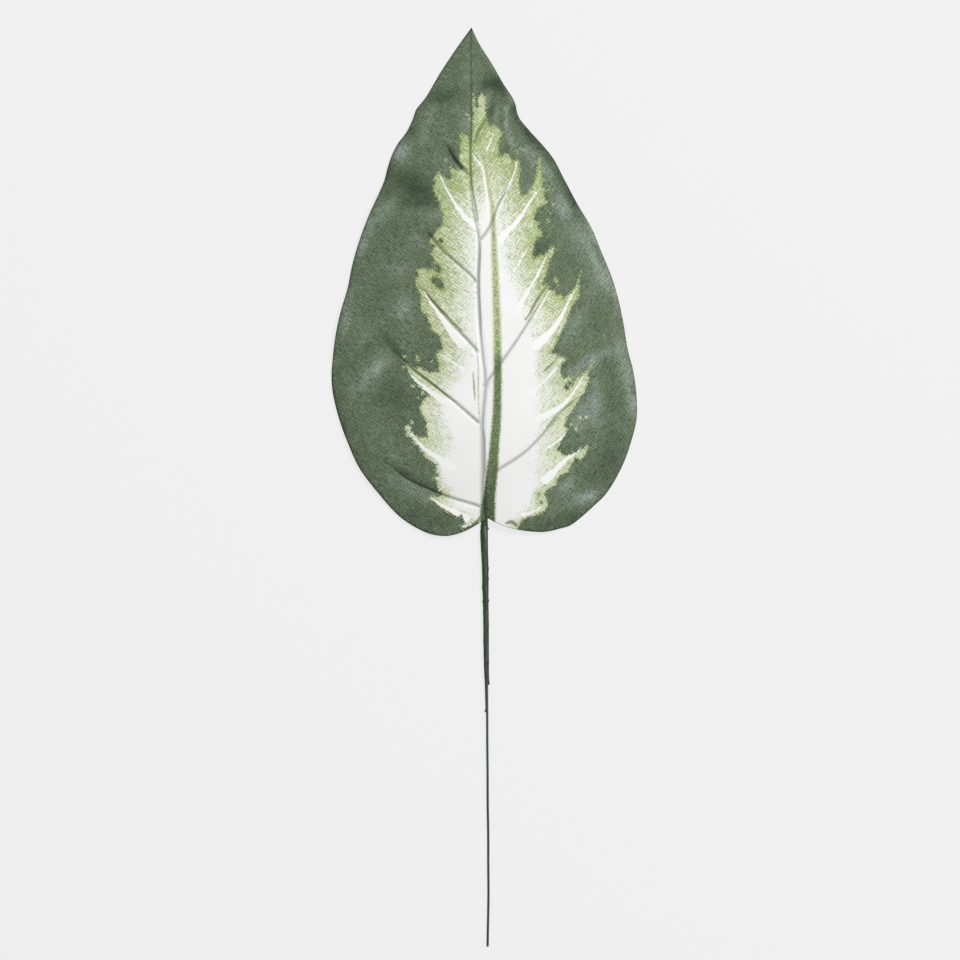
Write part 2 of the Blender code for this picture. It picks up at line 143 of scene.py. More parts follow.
# The print, in millimetres. First the outline of its light part, whose edge is ragged
LIGHT_PRINT = [
    (-1.3, 257.6), (1, 253.5), (1.2, 249.3), (1.4, 243.1), (2.5, 238.9), (3.1, 235.2), (4.4, 234.7),
    (6, 236.4), (7.7, 236), (10.1, 233.1), (11.8, 231), (10.6, 226.4), (9.7, 223.1), (9.7, 220.2),
    (9.6, 216), (11.9, 215.8), (13.5, 217.5), (15.6, 217.9), (17.3, 216.6), (17.5, 214.2), (18.9, 212.7),
    (21, 213.8), (22.7, 213.3), (23.5, 212.1), (23.3, 207.5), (23.3, 202.9), (22.7, 199.1),
    (23.8, 197.1), (23.8, 192.9), (24.4, 190), (26.8, 190.5), (29.8, 193.3), (32.3, 197.9),
    (33.8, 203.8), (34.5, 208.7), (35.6, 214.2), (37.1, 215.4), (37.3, 212.5), (37.1, 207.9),
    (37.9, 203.8), (39.4, 201.2), (38.9, 198.7), (37.9, 195.4), (39.8, 194.2), (42.7, 194.2),
    (41.9, 192.9), (39.4, 192.5), (39.4, 189.6), (40.2, 187.5), (41.5, 185.4), (41, 184.2),
    (38.9, 184.2), (36.4, 183.3), (34.8, 180.4), (34, 178.4), (33.1, 176.3), (32.3, 174.7), (34.3, 173),
    (36, 172.5), (35.4, 170), (36.4, 167.9), (38.3, 165.8), (37.7, 164.2), (34.7, 162), (32.7, 158),
    (32.7, 156), (31.7, 151.5), (32.2, 148), (35.2, 151), (39.7, 151.5), (41.7, 154), (44.7, 157.5),
    (46.2, 155.5), (44.7, 150.5), (42.7, 146.5), (41.7, 142.5), (40.7, 137.5), (37.7, 132.5),
    (39.2, 131.5), (42.7, 132.5), (42.7, 128.5), (46.2, 128), (47.7, 125), (50.7, 126), (51.6, 122.5),
    (55.2, 126), (59.2, 130), (61.6, 137.5), (63.7, 142), (62.2, 135.5), (62.2, 129.5), (62.2, 125),
    (58.6, 118.5), (55.7, 112.5), (52.9, 105.1), (49.3, 98.3), (46.7, 92.7), (43.2, 87.2), (47.1, 87.2),
    (48.2, 85.7), (51.2, 84.7), (53.7, 83.2), (51.2, 80.2), (50.1, 76.7), (50.1, 73.6), (52.2, 70.6),
    (55.2, 72.1), (59.2, 71.7), (62.2, 72.1), (66.1, 75.7), (69.7, 79.7), (72.1, 82.7), (68.2, 73.6),
    (68.6, 70.6), (66.7, 65.7), (65.2, 60.7), (62.7, 58.7), (57.1, 49.2), (53.7, 44.7), (52.7, 39.7),
    (55.2, 37.7), (50.7, 30.7), (47.7, 24.7), (52.2, 20.9), (55.2, 20.8), (59.7, 22.7), (68.2, 27.2),
    (65.9, 21), (63, 17.6), (59.5, 18.7), (56, 13.4), (54.8, 9.9), (49.6, 7.8), (48.3, 5.2), (47.7, 2.6),
    (46.4, 0.7), (43.7, 0.3), (41.8, -1), (40.5, -2.6), (39.8, -5.2), (41.8, -7.8), (40.8, -9.1),
    (42.4, -11.4), (40.5, -13.4), (38.5, -16.3), (33.9, -18.6), (30.4, -19.2), (25.7, -21),
    (23.4, -23.8), (22.2, -27.9), (22.2, -30.4), (-2.9, -28.4), (-3, -20.2), (-5, -22.4), (-8.7, -25),
    (-11.6, -26.2), (-16, -26.4), (-14.4, -24.8), (-12.7, -22.9), (-13.4, -20.6), (-14.4, -18.6),
    (-15.7, -18.9), (-17.6, -19.6), (-20.9, -18.3), (-23.5, -16), (-24.4, -15.8), (-28.1, -13.5),
    (-31.7, -10.3), (-35.4, -6.7), (-27.2, -5.7), (-29.9, -3), (-29.9, 0.7), (-30.8, 3.5), (-33.6, 6.2),
    (-31.7, 6.7), (-29, 7.6), (-31.9, 9.4), (-31.3, 12.1), (-30.8, 14.4), (-32.6, 15.3), (-35.4, 17.2),
    (-38.6, 19.9), (-40.4, 23.1), (-42.7, 26.4), (-45.4, 28.2), (-47.3, 31.9), (-50.1, 33.2),
    (-51.2, 35.1), (-49.6, 36.4), (-46.4, 35.5), (-42.7, 32.3), (-38.1, 32.3), (-36.4, 30.5),
    (-37, 36.9), (-38.2, 39.7), (-37.3, 42.2), (-39.9, 46), (-41.5, 48.9), (-41.9, 51.8), (-40.2, 56),
    (-36, 59.3), (-37.7, 62.2), (-41.5, 64.7), (-44.4, 67.6), (-47.3, 71.8), (-49.4, 76.4),
    (-52.3, 84.3), (-49.4, 80.5), (-46, 78), (-44.4, 77.2), (-41.1, 78.4), (-37.7, 75.5), (-34.4, 74.7),
    (-31.1, 75.5), (-29, 74.7), (-29.8, 77.2), (-29, 79.3), (-30.2, 82.6), (-31.9, 85.5), (-30.6, 88),
    (-28.6, 88.9), (-27.3, 90.5), (-28.1, 94.7), (-29.4, 98.5), (-31.9, 100.1), (-34.4, 102.2),
    (-34.4, 105), (-36.5, 107.9), (-37.7, 111.6), (-40.6, 114.2), (-41.9, 117.9), (-41.1, 122.5),
    (-42.7, 127.5), (-44.4, 130.8), (-45.2, 134.6), (-43.2, 137.5), (-43.2, 141.7), (-38.6, 142.9),
    (-36, 141.7), (-32.3, 142.5), (-31.9, 145), (-32.7, 148.3), (-34.4, 151.7), (-34, 153.3),
    (-32.7, 156.6), (-34.4, 158.3), (-36, 159.1), (-35.3, 161.2), (-32.4, 165.5), (-29.5, 169.2),
    (-27, 172.5), (-26.6, 175.4), (-27.4, 179.2), (-28.7, 182.9), (-29.5, 186.3), (-31, 188.4),
    (-32.4, 192.1), (-33.1, 195.4), (-31.8, 198.4), (-33.3, 200.4), (-32.8, 202.1), (-31.2, 203.8),
    (-29.5, 205.8), (-27.4, 202.9), (-25.4, 201.2), (-22.9, 200.4), (-21.2, 201.2), (-21.6, 204.6),
    (-22.7, 207.9), (-21.2, 210.4), (-19.1, 207.1), (-17.8, 207), (-15, 207), (-13.4, 207.9),
    (-15, 210.2), (-16, 212.5), (-16.5, 214.5), (-15, 218.7), (-15.8, 222.9), (-14.8, 226),
    (-15.7, 229.3), (-14.8, 231.4), (-12.3, 229.8), (-10.6, 229.3), (-9.8, 226.4), (-9.1, 222.2),
    (-8.3, 230.1), (-8, 235.4), (-7.8, 239.7), (-6.9, 243.9), (-7.6, 249.3), (-7.1, 256.6), (-6.3, 255),
    (-6.2, 251.7), (-5.9, 247.8), (-4.6, 247.1), (-3.6, 248.4), (-3.9, 251.7), (-3.3, 255),
]
DARK_ISLANDS = [
    (-5.4, 249.7, 1.2), (-30.4, 142.7, 2.2), (-29.4, 141, 1.6), (-32, 134.8, 2.3), (-30, 133.2, 2.8),
    (-28.1, 131.2, 2), (54.2, 65.3, 1.7), (56.1, 67.2, 1.8), (58.1, 69.9, 1), (-28.1, 160.6, 1.4),
    (35.9, -4.9, 0.9), (37.2, -10.4, 0.8), (-28.1, -4.2, 1),
]
LIME_FLECKS = [
    (-11.1, 242.6, 1.2), (-9.6, 239.9, 1.1), (-46.9, 42.1, 0.9), (59.7, 55.2, 1.1), (59.7, 37.7, 1.1),
    (62.4, 45.4, 0.9), (66.3, 45.4, 0.9), (16.6, -24.2, 2.2), (20.6, -24.2, 2), (-42.8, 58.4, 0.8),
    (-51.9, 78.7, 0.9), (-24.5, 213.2, 0.8), (52.6, 121.8, 0.6), (-34.3, 81.9, 0.8), (-38.8, 71.5, 0.8),
    (-43.4, 70.2, 0.9), (49.9, 81.3, 0.8), (57.1, 40.8, 0.8), (44.7, 184.4, 0.8), (42.8, 178.6, 0.8),
    (42.1, 174, 0.8), (24.5, 220.4, 0.8), (21.9, 218.4, 0.8), (-49.6, 38.5, 2), (-52.2, 84.6, 1.2),
    (-43.7, 84.2, 0.8), (-42.8, 82.3, 0.8), (-46.4, 65.6, 1.3), (-40.5, 60.7, 1.1), (46.6, 135.5, 1.2),
    (47.3, 133.5, 1.2), (48, 131.6, 1),
]
WHITE_CORE = [
    (2.3, 177.9), (6.2, 171.4), (8.2, 163.6), (9.5, 154.4), (10.8, 146.6), (13.4, 138.1), (16.6, 130.3),
    (19.9, 121.8), (23.8, 112.6), (27.7, 102.2), (30.4, 92.4), (31, 85.9), (31, 72.8), (31.7, 56.5),
    (31, 46.7), (33, 36.9), (32.3, 20.6), (31, 10.8), (33, 1.6), (29.7, -7.5), (22.5, -16),
    (14.7, -21.2), (12.1, -29.7), (-3.6, -29.7), (-5.5, -19.3), (-8.8, -14), (-16.6, -12.1),
    (-16.6, -6.9), (-18, -1), (-23.8, 4.2), (-27.1, 10.8), (-27.7, 16), (-21.9, 19.9), (-17.3, 23.8),
    (-17.3, 30.4), (-20.6, 38.2), (-23.8, 48), (-21.9, 56.5), (-18.6, 63.7), (-12.7, 69.5), (-8.8, 77.4),
    (-6.2, 87.8), (-3.6, 105.4), (-2.9, 131.6), (-2.3, 160.9), (-0.3, 172.7),
]
STRIPE = [
    (0.5, 213.2), (-0.1, 209.3), (1.9, 196.8), (4.1, 184.4), (4.6, 167.5), (5.2, 137.4), (5.8, 117.8),
    (6, 107.4), (6.2, 92.4), (6.3, 70.8), (5.9, 55.8), (5, 40.8), (2.8, 20.6), (1.6, 12.7), (-0.5, -4.9),
    (-2.2, -12.7), (-2.7, -17.3), (-2.9, -24.5), (7.2, -24.5), (7.4, -19.3), (7.6, -4.9), (9.3, 12.7),
    (9.6, 20.6), (11, 40.8), (11.4, 55.8), (11.6, 70.8), (11.3, 92.4), (10.9, 107.4), (10.3, 117.8),
    (9.5, 137.4), (7.8, 167.5), (6.5, 184.4), (3.5, 196.8), (0.9, 209.3), (0.8, 213.2),
]
# Half-widths at the outer and the inner end, then the line
WHITE_VEINS = [
    (0.3, 2, [(-28.7, 202.7), (-23.8, 192.9), (-15.3, 179.2), (-8.8, 172.7), (-4.9, 169.4)]),
    (0.25, 0.7, [(-24.8, 151.1), (-17.3, 144.6), (-6.9, 136.1)]),
    (0.25, 3.4, [(-39.2, 127.3), (-35.3, 120.8), (-30, 113.6), (-24.8, 106.4),
                 (-20.2, 99.9), (-14.4, 94)]),
    (0.2, 0.9, [(-30.6, 87.8), (-19.3, 80.6), (-13.4, 76.7)]),
    (0.4, 2.6, [(-49.9, 75.4), (-46.4, 71.5), (-41.1, 66.9), (-35.9, 62.7), (-30, 58.4), (-22.2, 54.2)]),
    (0.4, 2.6, [(-48.6, 36.2), (-40.4, 26.4), (-29.7, 18.6), (-20.6, 12.7)]),
    (0.4, 2.4, [(-36.2, -6.2), (-28.4, -11.4), (-18.6, -16.6), (-11.4, -20.6)]),
    (0.3, 0.6, [(-15.7, -26.8), (-8.8, -24.5)]),
    (0.4, 1, [(-7.2, 216.1), (-3.9, 211.9), (-1.3, 209.3), (0, 205)]),
    (0.9, 1.6, [(0, 205), (1.3, 195.2), (2.6, 185.4), (3.3, 176.9)]),
    (0.35, 0.3, [(6, 229.8), (1.8, 219.3)]),
    (0.3, 1.4, [(21, 211.9), (20.2, 206), (14.4, 191.6), (8.6, 179.2), (6.9, 172.7)]),
    (0.4, 2.6, [(34, 192.3), (27.7, 182.5), (22.5, 174), (14.4, 165.8), (10.1, 160.9)]),
    (0.25, 0.6, [(28.7, 155.7), (19.3, 140.7)]),
    (0.3, 1.8, [(40.7, 149.8), (34.7, 138.1), (28.7, 127.6), (23.7, 119.2), (20.6, 113.9)]),
    (0.25, 0.6, [(42.8, 127.6), (32.7, 111.3)]),
    (0.15, 3.3, [(59.7, 129.3), (55.5, 121.8), (51.6, 113.6), (48, 107.1), (43.4, 101.2), (34, 92.1)]),
    (0.3, 1.4, [(51.3, 83.9), (44.1, 74.1), (35.2, 65), (30.4, 61)]),
    (0.4, 2.6, [(64.6, 71.5), (59.1, 63), (52.6, 54.5), (42.8, 48), (34.9, 44.1)]),
    (0.3, 0.8, [(55.2, 36.2), (47.7, 29.7), (41.5, 25.8)]),
    (0.15, 3, [(67.9, 28.1), (59.4, 21.9), (54.8, 18.9), (49.6, 14), (45.1, 9.5), (39.8, 4.6)]),
    (0.2, 1.2, [(37.2, -13.7), (30.7, -16.6), (24.8, -18.3)]),
]
# Olive lines, each a width and its line: those along the pressed veins are painted groove shade, the others
# are print
OLIVE_PRINT_AND_SHADE_LINES = [
    (0.9, [(43.1, 133.2), (39.8, 129.9), (37.2, 126), (34.6, 122.1), (32, 117.5),
           (29.4, 112.3), (26.8, 109)]),
    (0.7, [(-52.9, 81), (-46.4, 76.4), (-41.1, 73.1), (-36.6, 69.9), (-32.6, 66.6), (-28.7, 63.3),
           (-24.2, 59.4), (-18.9, 55.5)]),
    (0.6, [(61.4, 58.8), (56.1, 54.2), (49.6, 49)]),
    (0.5, [(50.9, 50.3), (47, 46.4), (43.7, 42.4), (40.5, 38.5)]),
    (0.55, [(-7.1, 74.4), (-6.5, 65.9), (-6, 56.8)]),
    (1.1, [(-6.5, 224.3), (-3.6, 232.1), (0.3, 238.6), (2.3, 242.6)]),
    (0.6, [(-24.5, 219.7), (-17.3, 211.9), (-10.8, 206.6)]),
    (0.7, [(-36.9, 166.8), (-26.4, 155.7)]),
    (0.7, [(-43.7, 133.2), (-38.5, 126.7), (-35.3, 122.7), (-28.7, 116.2), (-22.2, 109.7)]),
    (0.6, [(18.6, 202.1), (12.7, 189), (6.9, 177.3)]),
    (0.6, [(47.3, 9.5), (42.1, 5.5)]),
    (0.75, [(-8.6, 255.3), (-8.6, 240.9), (-8.5, 229.8), (-9.1, 220), (-8.9, 210.2), (-8.4, 201.7),
            (-7.5, 193.9), (-5.5, 183.5), (-3.9, 173)]),
    (0.3, [(-26.4, 155.7), (-18, 146.6)]),
    (0.4, [(-21.9, 109.4), (-14, 101.5)]),
    (1.3, [(14.4, -23.5), (18.3, -22.9), (21.5, -25.5)]),
    (0.9, [(-2.6, -19.3), (-3.9, -21.5), (-7.5, -24.5), (-11.8, -26.1), (-15, -27.1)]),
    (0.7, [(38.5, 75.1), (42.4, 78.3), (45.7, 81.6)]),
    (0.25, [(-5.5, 94.7), (-4.9, 88.1), (-3.9, 80.3), (-3.7, 63.3), (-3.3, 50.3), (-2.6, 38.5)]),
]
# Where the light part is greener, or whiter if negative: (x, y, strength, along, across, turn)
LIME_PATCHES = [
    (-1.6, 230.8, 0.8, 9.1, 2, 69), (-20.6, 194.9, 0.6, 7.8, 6.5, 0), (17.3, 205.3, 0.6, 6.5, 3.9, 60),
    (33.6, 77.4, 0.3, 6.5, 5.2, 0), (-25.1, -4.2, 0.6, 5.2, 2.6, 0), (-14, -13.4, -0.8, 10.4, 3.3, -28),
    (51.3, 102.2, -0.7, 9.1, 3.3, 60), (-36.2, 36.9, -0.6, 9.1, 3.3, -80),
    (-38.2, 48.6, -0.5, 5.2, 2.6, -70), (65, 64.3, -0.5, 6.5, 2.6, 75),
    (49.9, 36.9, -0.5, 13.1, 5.2, 60), (35.6, -6.9, 0.5, 5.2, 5.2, 0), (49.9, 61.7, -0.3, 6.5, 5.2, 0),
    (47.3, 5.5, -0.5, 5.2, 3.3, 40),
]
# Painted sheen, where the dark part is paler and shinier, and painted shade where negative, in the same form
SHEEN_AND_SHADE_PATCHES = [
    (-72.8, 172.7, 0.55, 18.3, 5.9, 64), (-62.4, 183.1, 0.35, 6.5, 5.2, 40),
    (-38.2, 179.2, 0.35, 14.4, 5.9, -30), (-44.7, 162.2, 0.3, 13.1, 3.9, -40),
    (-54.5, 142.7, 0.5, 9.1, 5.9, -30), (-51.3, 118.5, 0.4, 7.8, 6.5, -45),
    (-90.4, 110, 0.35, 10.4, 4.6, 75), (-72.8, 74.8, 0.7, 22.2, 5.9, 48),
    (-53.2, 1.6, 0.35, 19.6, 5.2, -28), (-33.6, -6.9, 0.3, 9.1, 3.3, -25),
    (-10.8, 270.6, 0.25, 10.4, 4.6, 80), (-53.2, 219.7, 0.65, 7.2, 5.2, 50),
    (-36.2, 240.6, 0.35, 9.1, 3.9, 60), (-15.3, 244.5, 0.2, 7.8, 5.2, 70),
    (-24.5, 205.3, 0.15, 9.1, 6.5, -50), (16.3, 249.1, 0.7, 4.6, 2, 57),
    (14.7, 241.2, 0.8, 7.8, 2.3, 88), (17.3, 227.5, 0.7, 8.5, 2.6, -79),
    (8.8, 243.9, 0.45, 6.5, 2.3, 75), (2.6, 251, 0.5, 5.9, 2, -85), (40.2, 207.9, 0.5, 13.1, 3.9, -60),
    (27.1, 219.7, 0.35, 7.8, 3.9, -20), (51.3, 179.2, 0.7, 15.7, 4.6, -62),
    (76.1, 146.6, 0.9, 26.1, 8.5, -62), (69.5, 166.2, 0.5, 10.4, 5.2, -30),
    (61, 110, 0.5, 19.6, 5.9, 65), (70.8, 82.6, 0.7, 6.5, 4.6, 20), (61, 76.1, 0.6, 9.1, 4.6, 40),
    (93, 70.8, 0.65, 24.8, 5.2, -77), (64.3, 46.7, 0.7, 14.4, 7.8, 60), (66.9, 23.8, 0.4, 6.5, 2, 35),
    (66.9, -6.9, 1, 10.4, 4.6, 25), (53.9, 1, 0.6, 9.1, 4.6, 40), (5.2, -19.6, 0.8, 2.6, 1.3, -30),
    (9.5, 262.8, -0.95, 9.1, 5.9, -45), (5.2, 246.5, -0.6, 6.5, 2, 78),
    (12.1, 240.6, -0.6, 5.9, 1.6, 88), (-48.6, 231.5, -0.4, 5.9, 3.9, 50),
    (-62.4, 206.6, -0.6, 7.8, 3.9, 70), (-42.8, 191, -0.7, 14.4, 7.8, -20),
    (-49.3, 201.4, -0.5, 10.4, 7.8, 0), (-21.9, 216.4, -0.45, 9.1, 2.6, -50),
    (-54.5, 168.8, -0.3, 9.1, 3.9, 10), (-34.9, 163.6, -0.3, 6.5, 2.6, -45),
    (-59.1, 92.4, -0.6, 11.8, 3.3, -50), (-95.6, 43.4, -0.45, 26.1, 4.6, -78),
    (-59.7, 57.8, -0.35, 19.6, 10.4, 0), (-46.7, 6.9, -0.5, 22.2, 2.6, -28),
    (-34.9, -18.6, -0.25, 22.2, 6.5, -10), (31, 230.1, -1, 14.4, 3.3, -52),
    (26.4, 241.9, -0.5, 7.8, 2.6, -52), (19.3, 247.1, -0.6, 4.6, 3.3, -50),
    (59.1, 184.4, -0.5, 5.2, 2.6, -60), (-30.4, 160.9, -0.6, 4.6, 2.6, -45),
    (0.3, 262.1, -0.6, 4.6, 3.9, 0), (51.3, 202.7, -0.8, 22.2, 3.3, -60),
    (57.8, 191.6, -0.5, 6.5, 2.6, -62), (67.6, 166.2, -0.55, 15.7, 2.6, -62),
    (-79.3, 157.7, 0.5, 9.1, 3.9, 70), (-44.7, 183.8, -0.5, 11.8, 3.9, -5),
    (-30.4, 178.6, 0.5, 4.6, 3.3, 0), (-11.4, 236, 0.65, 7.2, 3.9, 80),
    (51.9, 187.1, 0.45, 9.1, 2.6, -60), (55.2, 172, -0.5, 5.2, 3.9, 0),
    (-55.8, 113.9, 0.4, 7.8, 5.2, -30), (-59.1, 87.2, -0.5, 6.5, 2.6, -50),
    (-77.4, 98.9, 0.35, 9.1, 5.2, 40), (73.5, 56.5, 0.45, 23.5, 5.2, 90),
    (61.7, 119.8, -0.4, 6.5, 5.2, 0), (33.6, 211.2, 0.45, 9.1, 3.3, -50),
    (-64.3, 189.7, -0.45, 7.8, 5.2, 60), (-54.5, 214.5, 0.35, 5.2, 3.9, 0),
    (-40.2, 227.5, 0.35, 5.2, 3.3, 60), (73.5, 89.1, -0.35, 6.5, 5.2, 20),
    (36.9, 155.7, -0.4, 7.8, 5.9, 30), (81.3, 56.5, -0.25, 17, 3.9, -80),
    (83.9, 17.3, -0.35, 22.2, 9.1, 60), (49.9, -21.9, -0.45, 22.2, 5.2, 10),
    (-28.4, 255, -0.55, 13.1, 6.5, 10), (-15.3, 274.5, -0.25, 6.5, 3.9, 55),
    (14.7, 219.7, -0.3, 6.5, 3.3, -60), (-29.7, 159.6, -0.9, 5.9, 2.6, -50),
    (78, 146.6, -0.5, 13.1, 2.6, -70), (-41.5, 77.4, -0.4, 6.5, 2, -10),
    (25.8, 194.9, 0.4, 3.9, 2.6, 90), (78.7, 87.2, 0.5, 5.2, 3.9, 0), (96.3, 51.9, 0.5, 5.2, 2.6, -80),
    (-88.5, 123.7, 0.35, 6.5, 2.6, 75), (-53.2, 154.4, 0.3, 7.8, 3.9, -45),
]

# The cloth and its mesh, in metres
CLOTH_THICKNESS = 0.00042
CUTS_PER_SPAN = 16
FINE_PITCH = 0.00082
COARSE_PITCH = 0.00200
EDGE_PITCH = 0.0012
VEIN_PITCH = 0.0011
RAIL_SHARES = (-1.3, -0.6, 0, 0.6, 1.3)
# How far its points keep from its edge and from the pressed lines, in pitches
EDGE_ROOM = 0.6
RAIL_ROOM = 0.5
# The last share of a pressed line, over which it rises to the surface
VEIN_FADE = 0.2

# The print and the threads, in millimetres and degrees
PRINT_MARGIN = 4.0
PITCH_CHANGE = 1.0
PRINT_STEP = 1.5
FAR_OUTSIDE = -9.0
THREAD_PITCH = 1.76
THREAD_TURN = 56
SLUB_LENGTH = 6.5
SLUB_WIDTH = 0.6
# The print's colours change down the blade from this height, over this length
FADE_TOP = 170
FADE_LENGTH = 190

# The petiole below the blade, in metres: (y, left, right, height), lying on the surface
STALK_SECTIONS = [
    (-0.0250, -0.0022, 0.0025, 0.0026), (-0.0300, -0.0025, 0.0025, 0.0030),
    (-0.0415, -0.0020, 0.0026, 0.0030), (-0.0506, -0.0015, 0.0029, 0.0030),
    (-0.0620, -0.0012, 0.0030, 0.0029), (-0.0741, -0.0009, 0.0030, 0.0028),
    (-0.0900, -0.0006, 0.0032, 0.0028), (-0.1067, -0.0004, 0.0033, 0.0027),
    (-0.1185, -0.0001, 0.0033, 0.0026), (-0.1248, 0.0002, 0.0034, 0.0023),
]
# The two tails beside the wire, in the same form
RIGHT_TAIL = [
    (-0.1190, 0.0019, 0.0031, 0.0024), (-0.1225, 0.0021, 0.0032, 0.0023),
    (-0.1262, 0.0023, 0.0035, 0.0021), (-0.1290, 0.0026, 0.0038, 0.0019),
]
LEFT_TAIL = [
    (-0.1190, 0.0000, 0.0011, 0.0022), (-0.1225, 0.0002, 0.0013, 0.0020),
    (-0.1300, 0.0005, 0.0015, 0.0018), (-0.1380, 0.0007, 0.0016, 0.0016),
    (-0.1440, 0.0009, 0.0017, 0.0015), (-0.1452, 0.0008, 0.0017, 0.0015),
    (-0.1462, 0.0003, 0.0017, 0.0015), (-0.1470, 0.0006, 0.0016, 0.0012),
]
# Behind the blade: (y, width, height)
RIB_SIZES = [
    (0.185, 0.0014, 0.0010), (0.107, 0.0026, 0.0018), (0.015, 0.0040, 0.0027), (-0.024, 0.0043, 0.0029),
]
STALK_STEP = 0.0004
RIB_STEP = 0.0020
STALK_SIDES = 28
STALK_SHARP = 50
SEAT_GAP = 0.0003
BORE_END = -0.160
# Its faint flutes and ripples, its widest level and how its ends are drawn in. Depths and levels are shares
# of its size, and twists are radians a metre
FLUTES = 6
FLUTE_DEPTH = 0.035
FLUTE_TWIST = 30
RIPPLE_DEPTH = 0.012
RIPPLE_TWIST = 900
WIDEST_LEVEL = 0.46
END_INSET = 0.3
END_REACH = 0.4
END_HEIGHT = 0.7
# How far the nubs may stand above its top, in metres
NUB_ROOM = 0.0002
# Moulding nubs, dents and bumps: (y, angle from the right, rise, reach along, reach round in degrees)
NUBS = [
    (-0.0272, 5, 0.0008, 0.0006, 30), (-0.0272, 180, -0.0003, 0.0005, 30), (-0.0532, 10, 0.0003, 0.0008, 40),
    (-0.0597, 0, 0.0003, 0.0007, 40), (-0.0656, 180, 0.0003, 0.0019, 45), (-0.0741, 5, 0.0004, 0.0008, 35),
    (-0.0748, 175, 0.0005, 0.0005, 25), (-0.0900, 60, 0.0002, 0.0030, 40), (-0.1000, 140, 0.0002, 0.0024, 40),
    (-0.1139, 15, 0.0002, 0.0010, 40),
]

# Painted glints where positive, and dark marks, on the petiole, in millimetres: (x, y, strength, along,
# across, turn)
PETIOLE_GLINTS_AND_MARKS = [
    (0.9, -29.7, 0.9, 4.0, 0.45, 97), (-0.3, -43.4, 0.7, 0.5, 0.6, 0), (1.3, -37.5, 0.4, 6.0, 0.5, 92),
    (1.4, -54.5, 0.5, 4.0, 0.4, 90), (1.2, -66.0, 0.3, 6.0, 0.4, 90), (2.7, -113.0, 0.6, 0.4, 0.8, 0),
    (3.3, -27.1, -1.2, 0.8, 0.8, 0), (2.4, -115.3, -1.1, 1.6, 0.8, 90), (-0.6, -75.2, -0.5, 0.5, 0.8, 0),
    (-2.0, -26.5, -0.6, 1.6, 0.7, 90),
]

# The wire's centre line, in metres, from inside the petiole to its cut end
WIRE_RADIUS = 0.00078
WIRE_PATH = [
    (0.0000, -0.0100, 0.00150), (0.0000, -0.0300, 0.00150), (0.0002, -0.0440, 0.00150),
    (0.0007, -0.0620, 0.00147), (0.0010, -0.0780, 0.00144), (0.0013, -0.0980, 0.00138),
    (0.0017, -0.1185, 0.00130), (0.0020, -0.1330, 0.00112), (0.0021, -0.1525, 0.00092),
    (0.0022, -0.1700, 0.00080), (0.0024, -0.2000, WIRE_RADIUS), (0.0028, -0.2400, WIRE_RADIUS),
    (0.0028, -0.2750, WIRE_RADIUS), (0.0023, -0.3000, WIRE_RADIUS),
]
WIRE_STEP = 0.0025
WIRE_SIDES = 20
WIRE_SHARP = 40
BORE_CLEARANCE = 0.00012
BARE_TIP = 7.6
TIP_BEVEL = 0.3
# The faint waves of its free length below the petiole
WAVES_START = -0.150
WAVES_RISE = 0.02
WAVE_DEPTH = 0.00005
WAVE_TWIST = 160

# The studio
FLOOR_REACH = 9
FLOOR_DROP = 0.0001
FLOOR_GLOW = 0.755
SKY_STRENGTH = 0.42
LAMP_PLACE = (1.45, 1.55, 2.12)
LAMP_SIZE = 1.1
LAMP_POWER = 75
CAMERA_PLACE = (-0.00263, 0.00453, 3.482)
CAMERA_LENS = 200
CAMERA_SENSOR = 36
CAMERA_REACH = 30


def smooth_line(points, step):
    """A Catmull-Rom curve through the points, cut into nearly equal lengths of about step."""
    points = np.array(points, float)
    padded = np.vstack([2 * points[0] - points[1], points, 2 * points[-1] - points[-2]])
    fine = [points[:1]]
    t = np.linspace(0, 1, CUTS_PER_SPAN + 1)[1:, None]
    for a, b, c, d in zip(padded, padded[1:], padded[2:], padded[3:]):
        bend = (2 * a - 5 * b + 4 * c - d) * t**2 + (3 * b - a - 3 * c + d) * t**3
        fine.append(0.5 * (2 * b + (c - a) * t + bend))
    fine = np.vstack(fine)
    run = np.concatenate([[0], np.cumsum(np.linalg.norm(np.diff(fine, axis=0), axis=1))])
    stops = np.linspace(0, run[-1], max(2, round(run[-1] / step) + 1))
    return np.column_stack([np.interp(stops, run, column) for column in fine.T])


def distance_to(line, points):
    """For each point, its distance from the line and how far along the line that is, from 0 to 1."""
    best = np.full(len(points), np.inf)
    share = np.zeros(len(points))
    lengths = np.linalg.norm(np.diff(line, axis=0), axis=1)
    starts = np.concatenate([[0], np.cumsum(lengths)])
    for a, b, start, length in zip(line, line[1:], starts, lengths):
        t = np.clip((points - a) @ (b - a) / length**2, 0, 1)
        away = np.linalg.norm(points - (a + t[:, None] * (b - a)), axis=1)
        nearer = away < best
        best[nearer] = away[nearer]
        share[nearer] = (start + t[nearer] * length) / starts[-1]
    return best, share


def inside(outline, points):
    """True for each point that the closed outline holds."""
    found = np.zeros(len(points), bool)
    for (ax, ay), (bx, by) in zip(outline, np.roll(outline, -1, axis=0)):
        if ay == by:
            continue
        crosses = (points[:, 1] < ay) != (points[:, 1] < by)
        found ^= crosses & (points[:, 0] < ax + (points[:, 1] - ay) * (bx - ax) / (by - ay))
    return found


def depth_in(outline, points):
    """How far each point is inside the closed outline, or outside it if negative."""
    outline = np.array(outline, float)
    away, _ = distance_to(np.vstack([outline, outline[:1]]), points)
    return np.where(inside(outline, points), away, -away)


MIDRIB_LINE = smooth_line(MIDRIB, VEIN_PITCH)
VEIN_LINES = [smooth_line(vein, VEIN_PITCH) for vein in SIDE_VEINS]
PRESSED_LINES = [(MIDRIB_LINE, MIDRIB_PRESS)] + [(line, SIDE_PRESS) for line in VEIN_LINES]


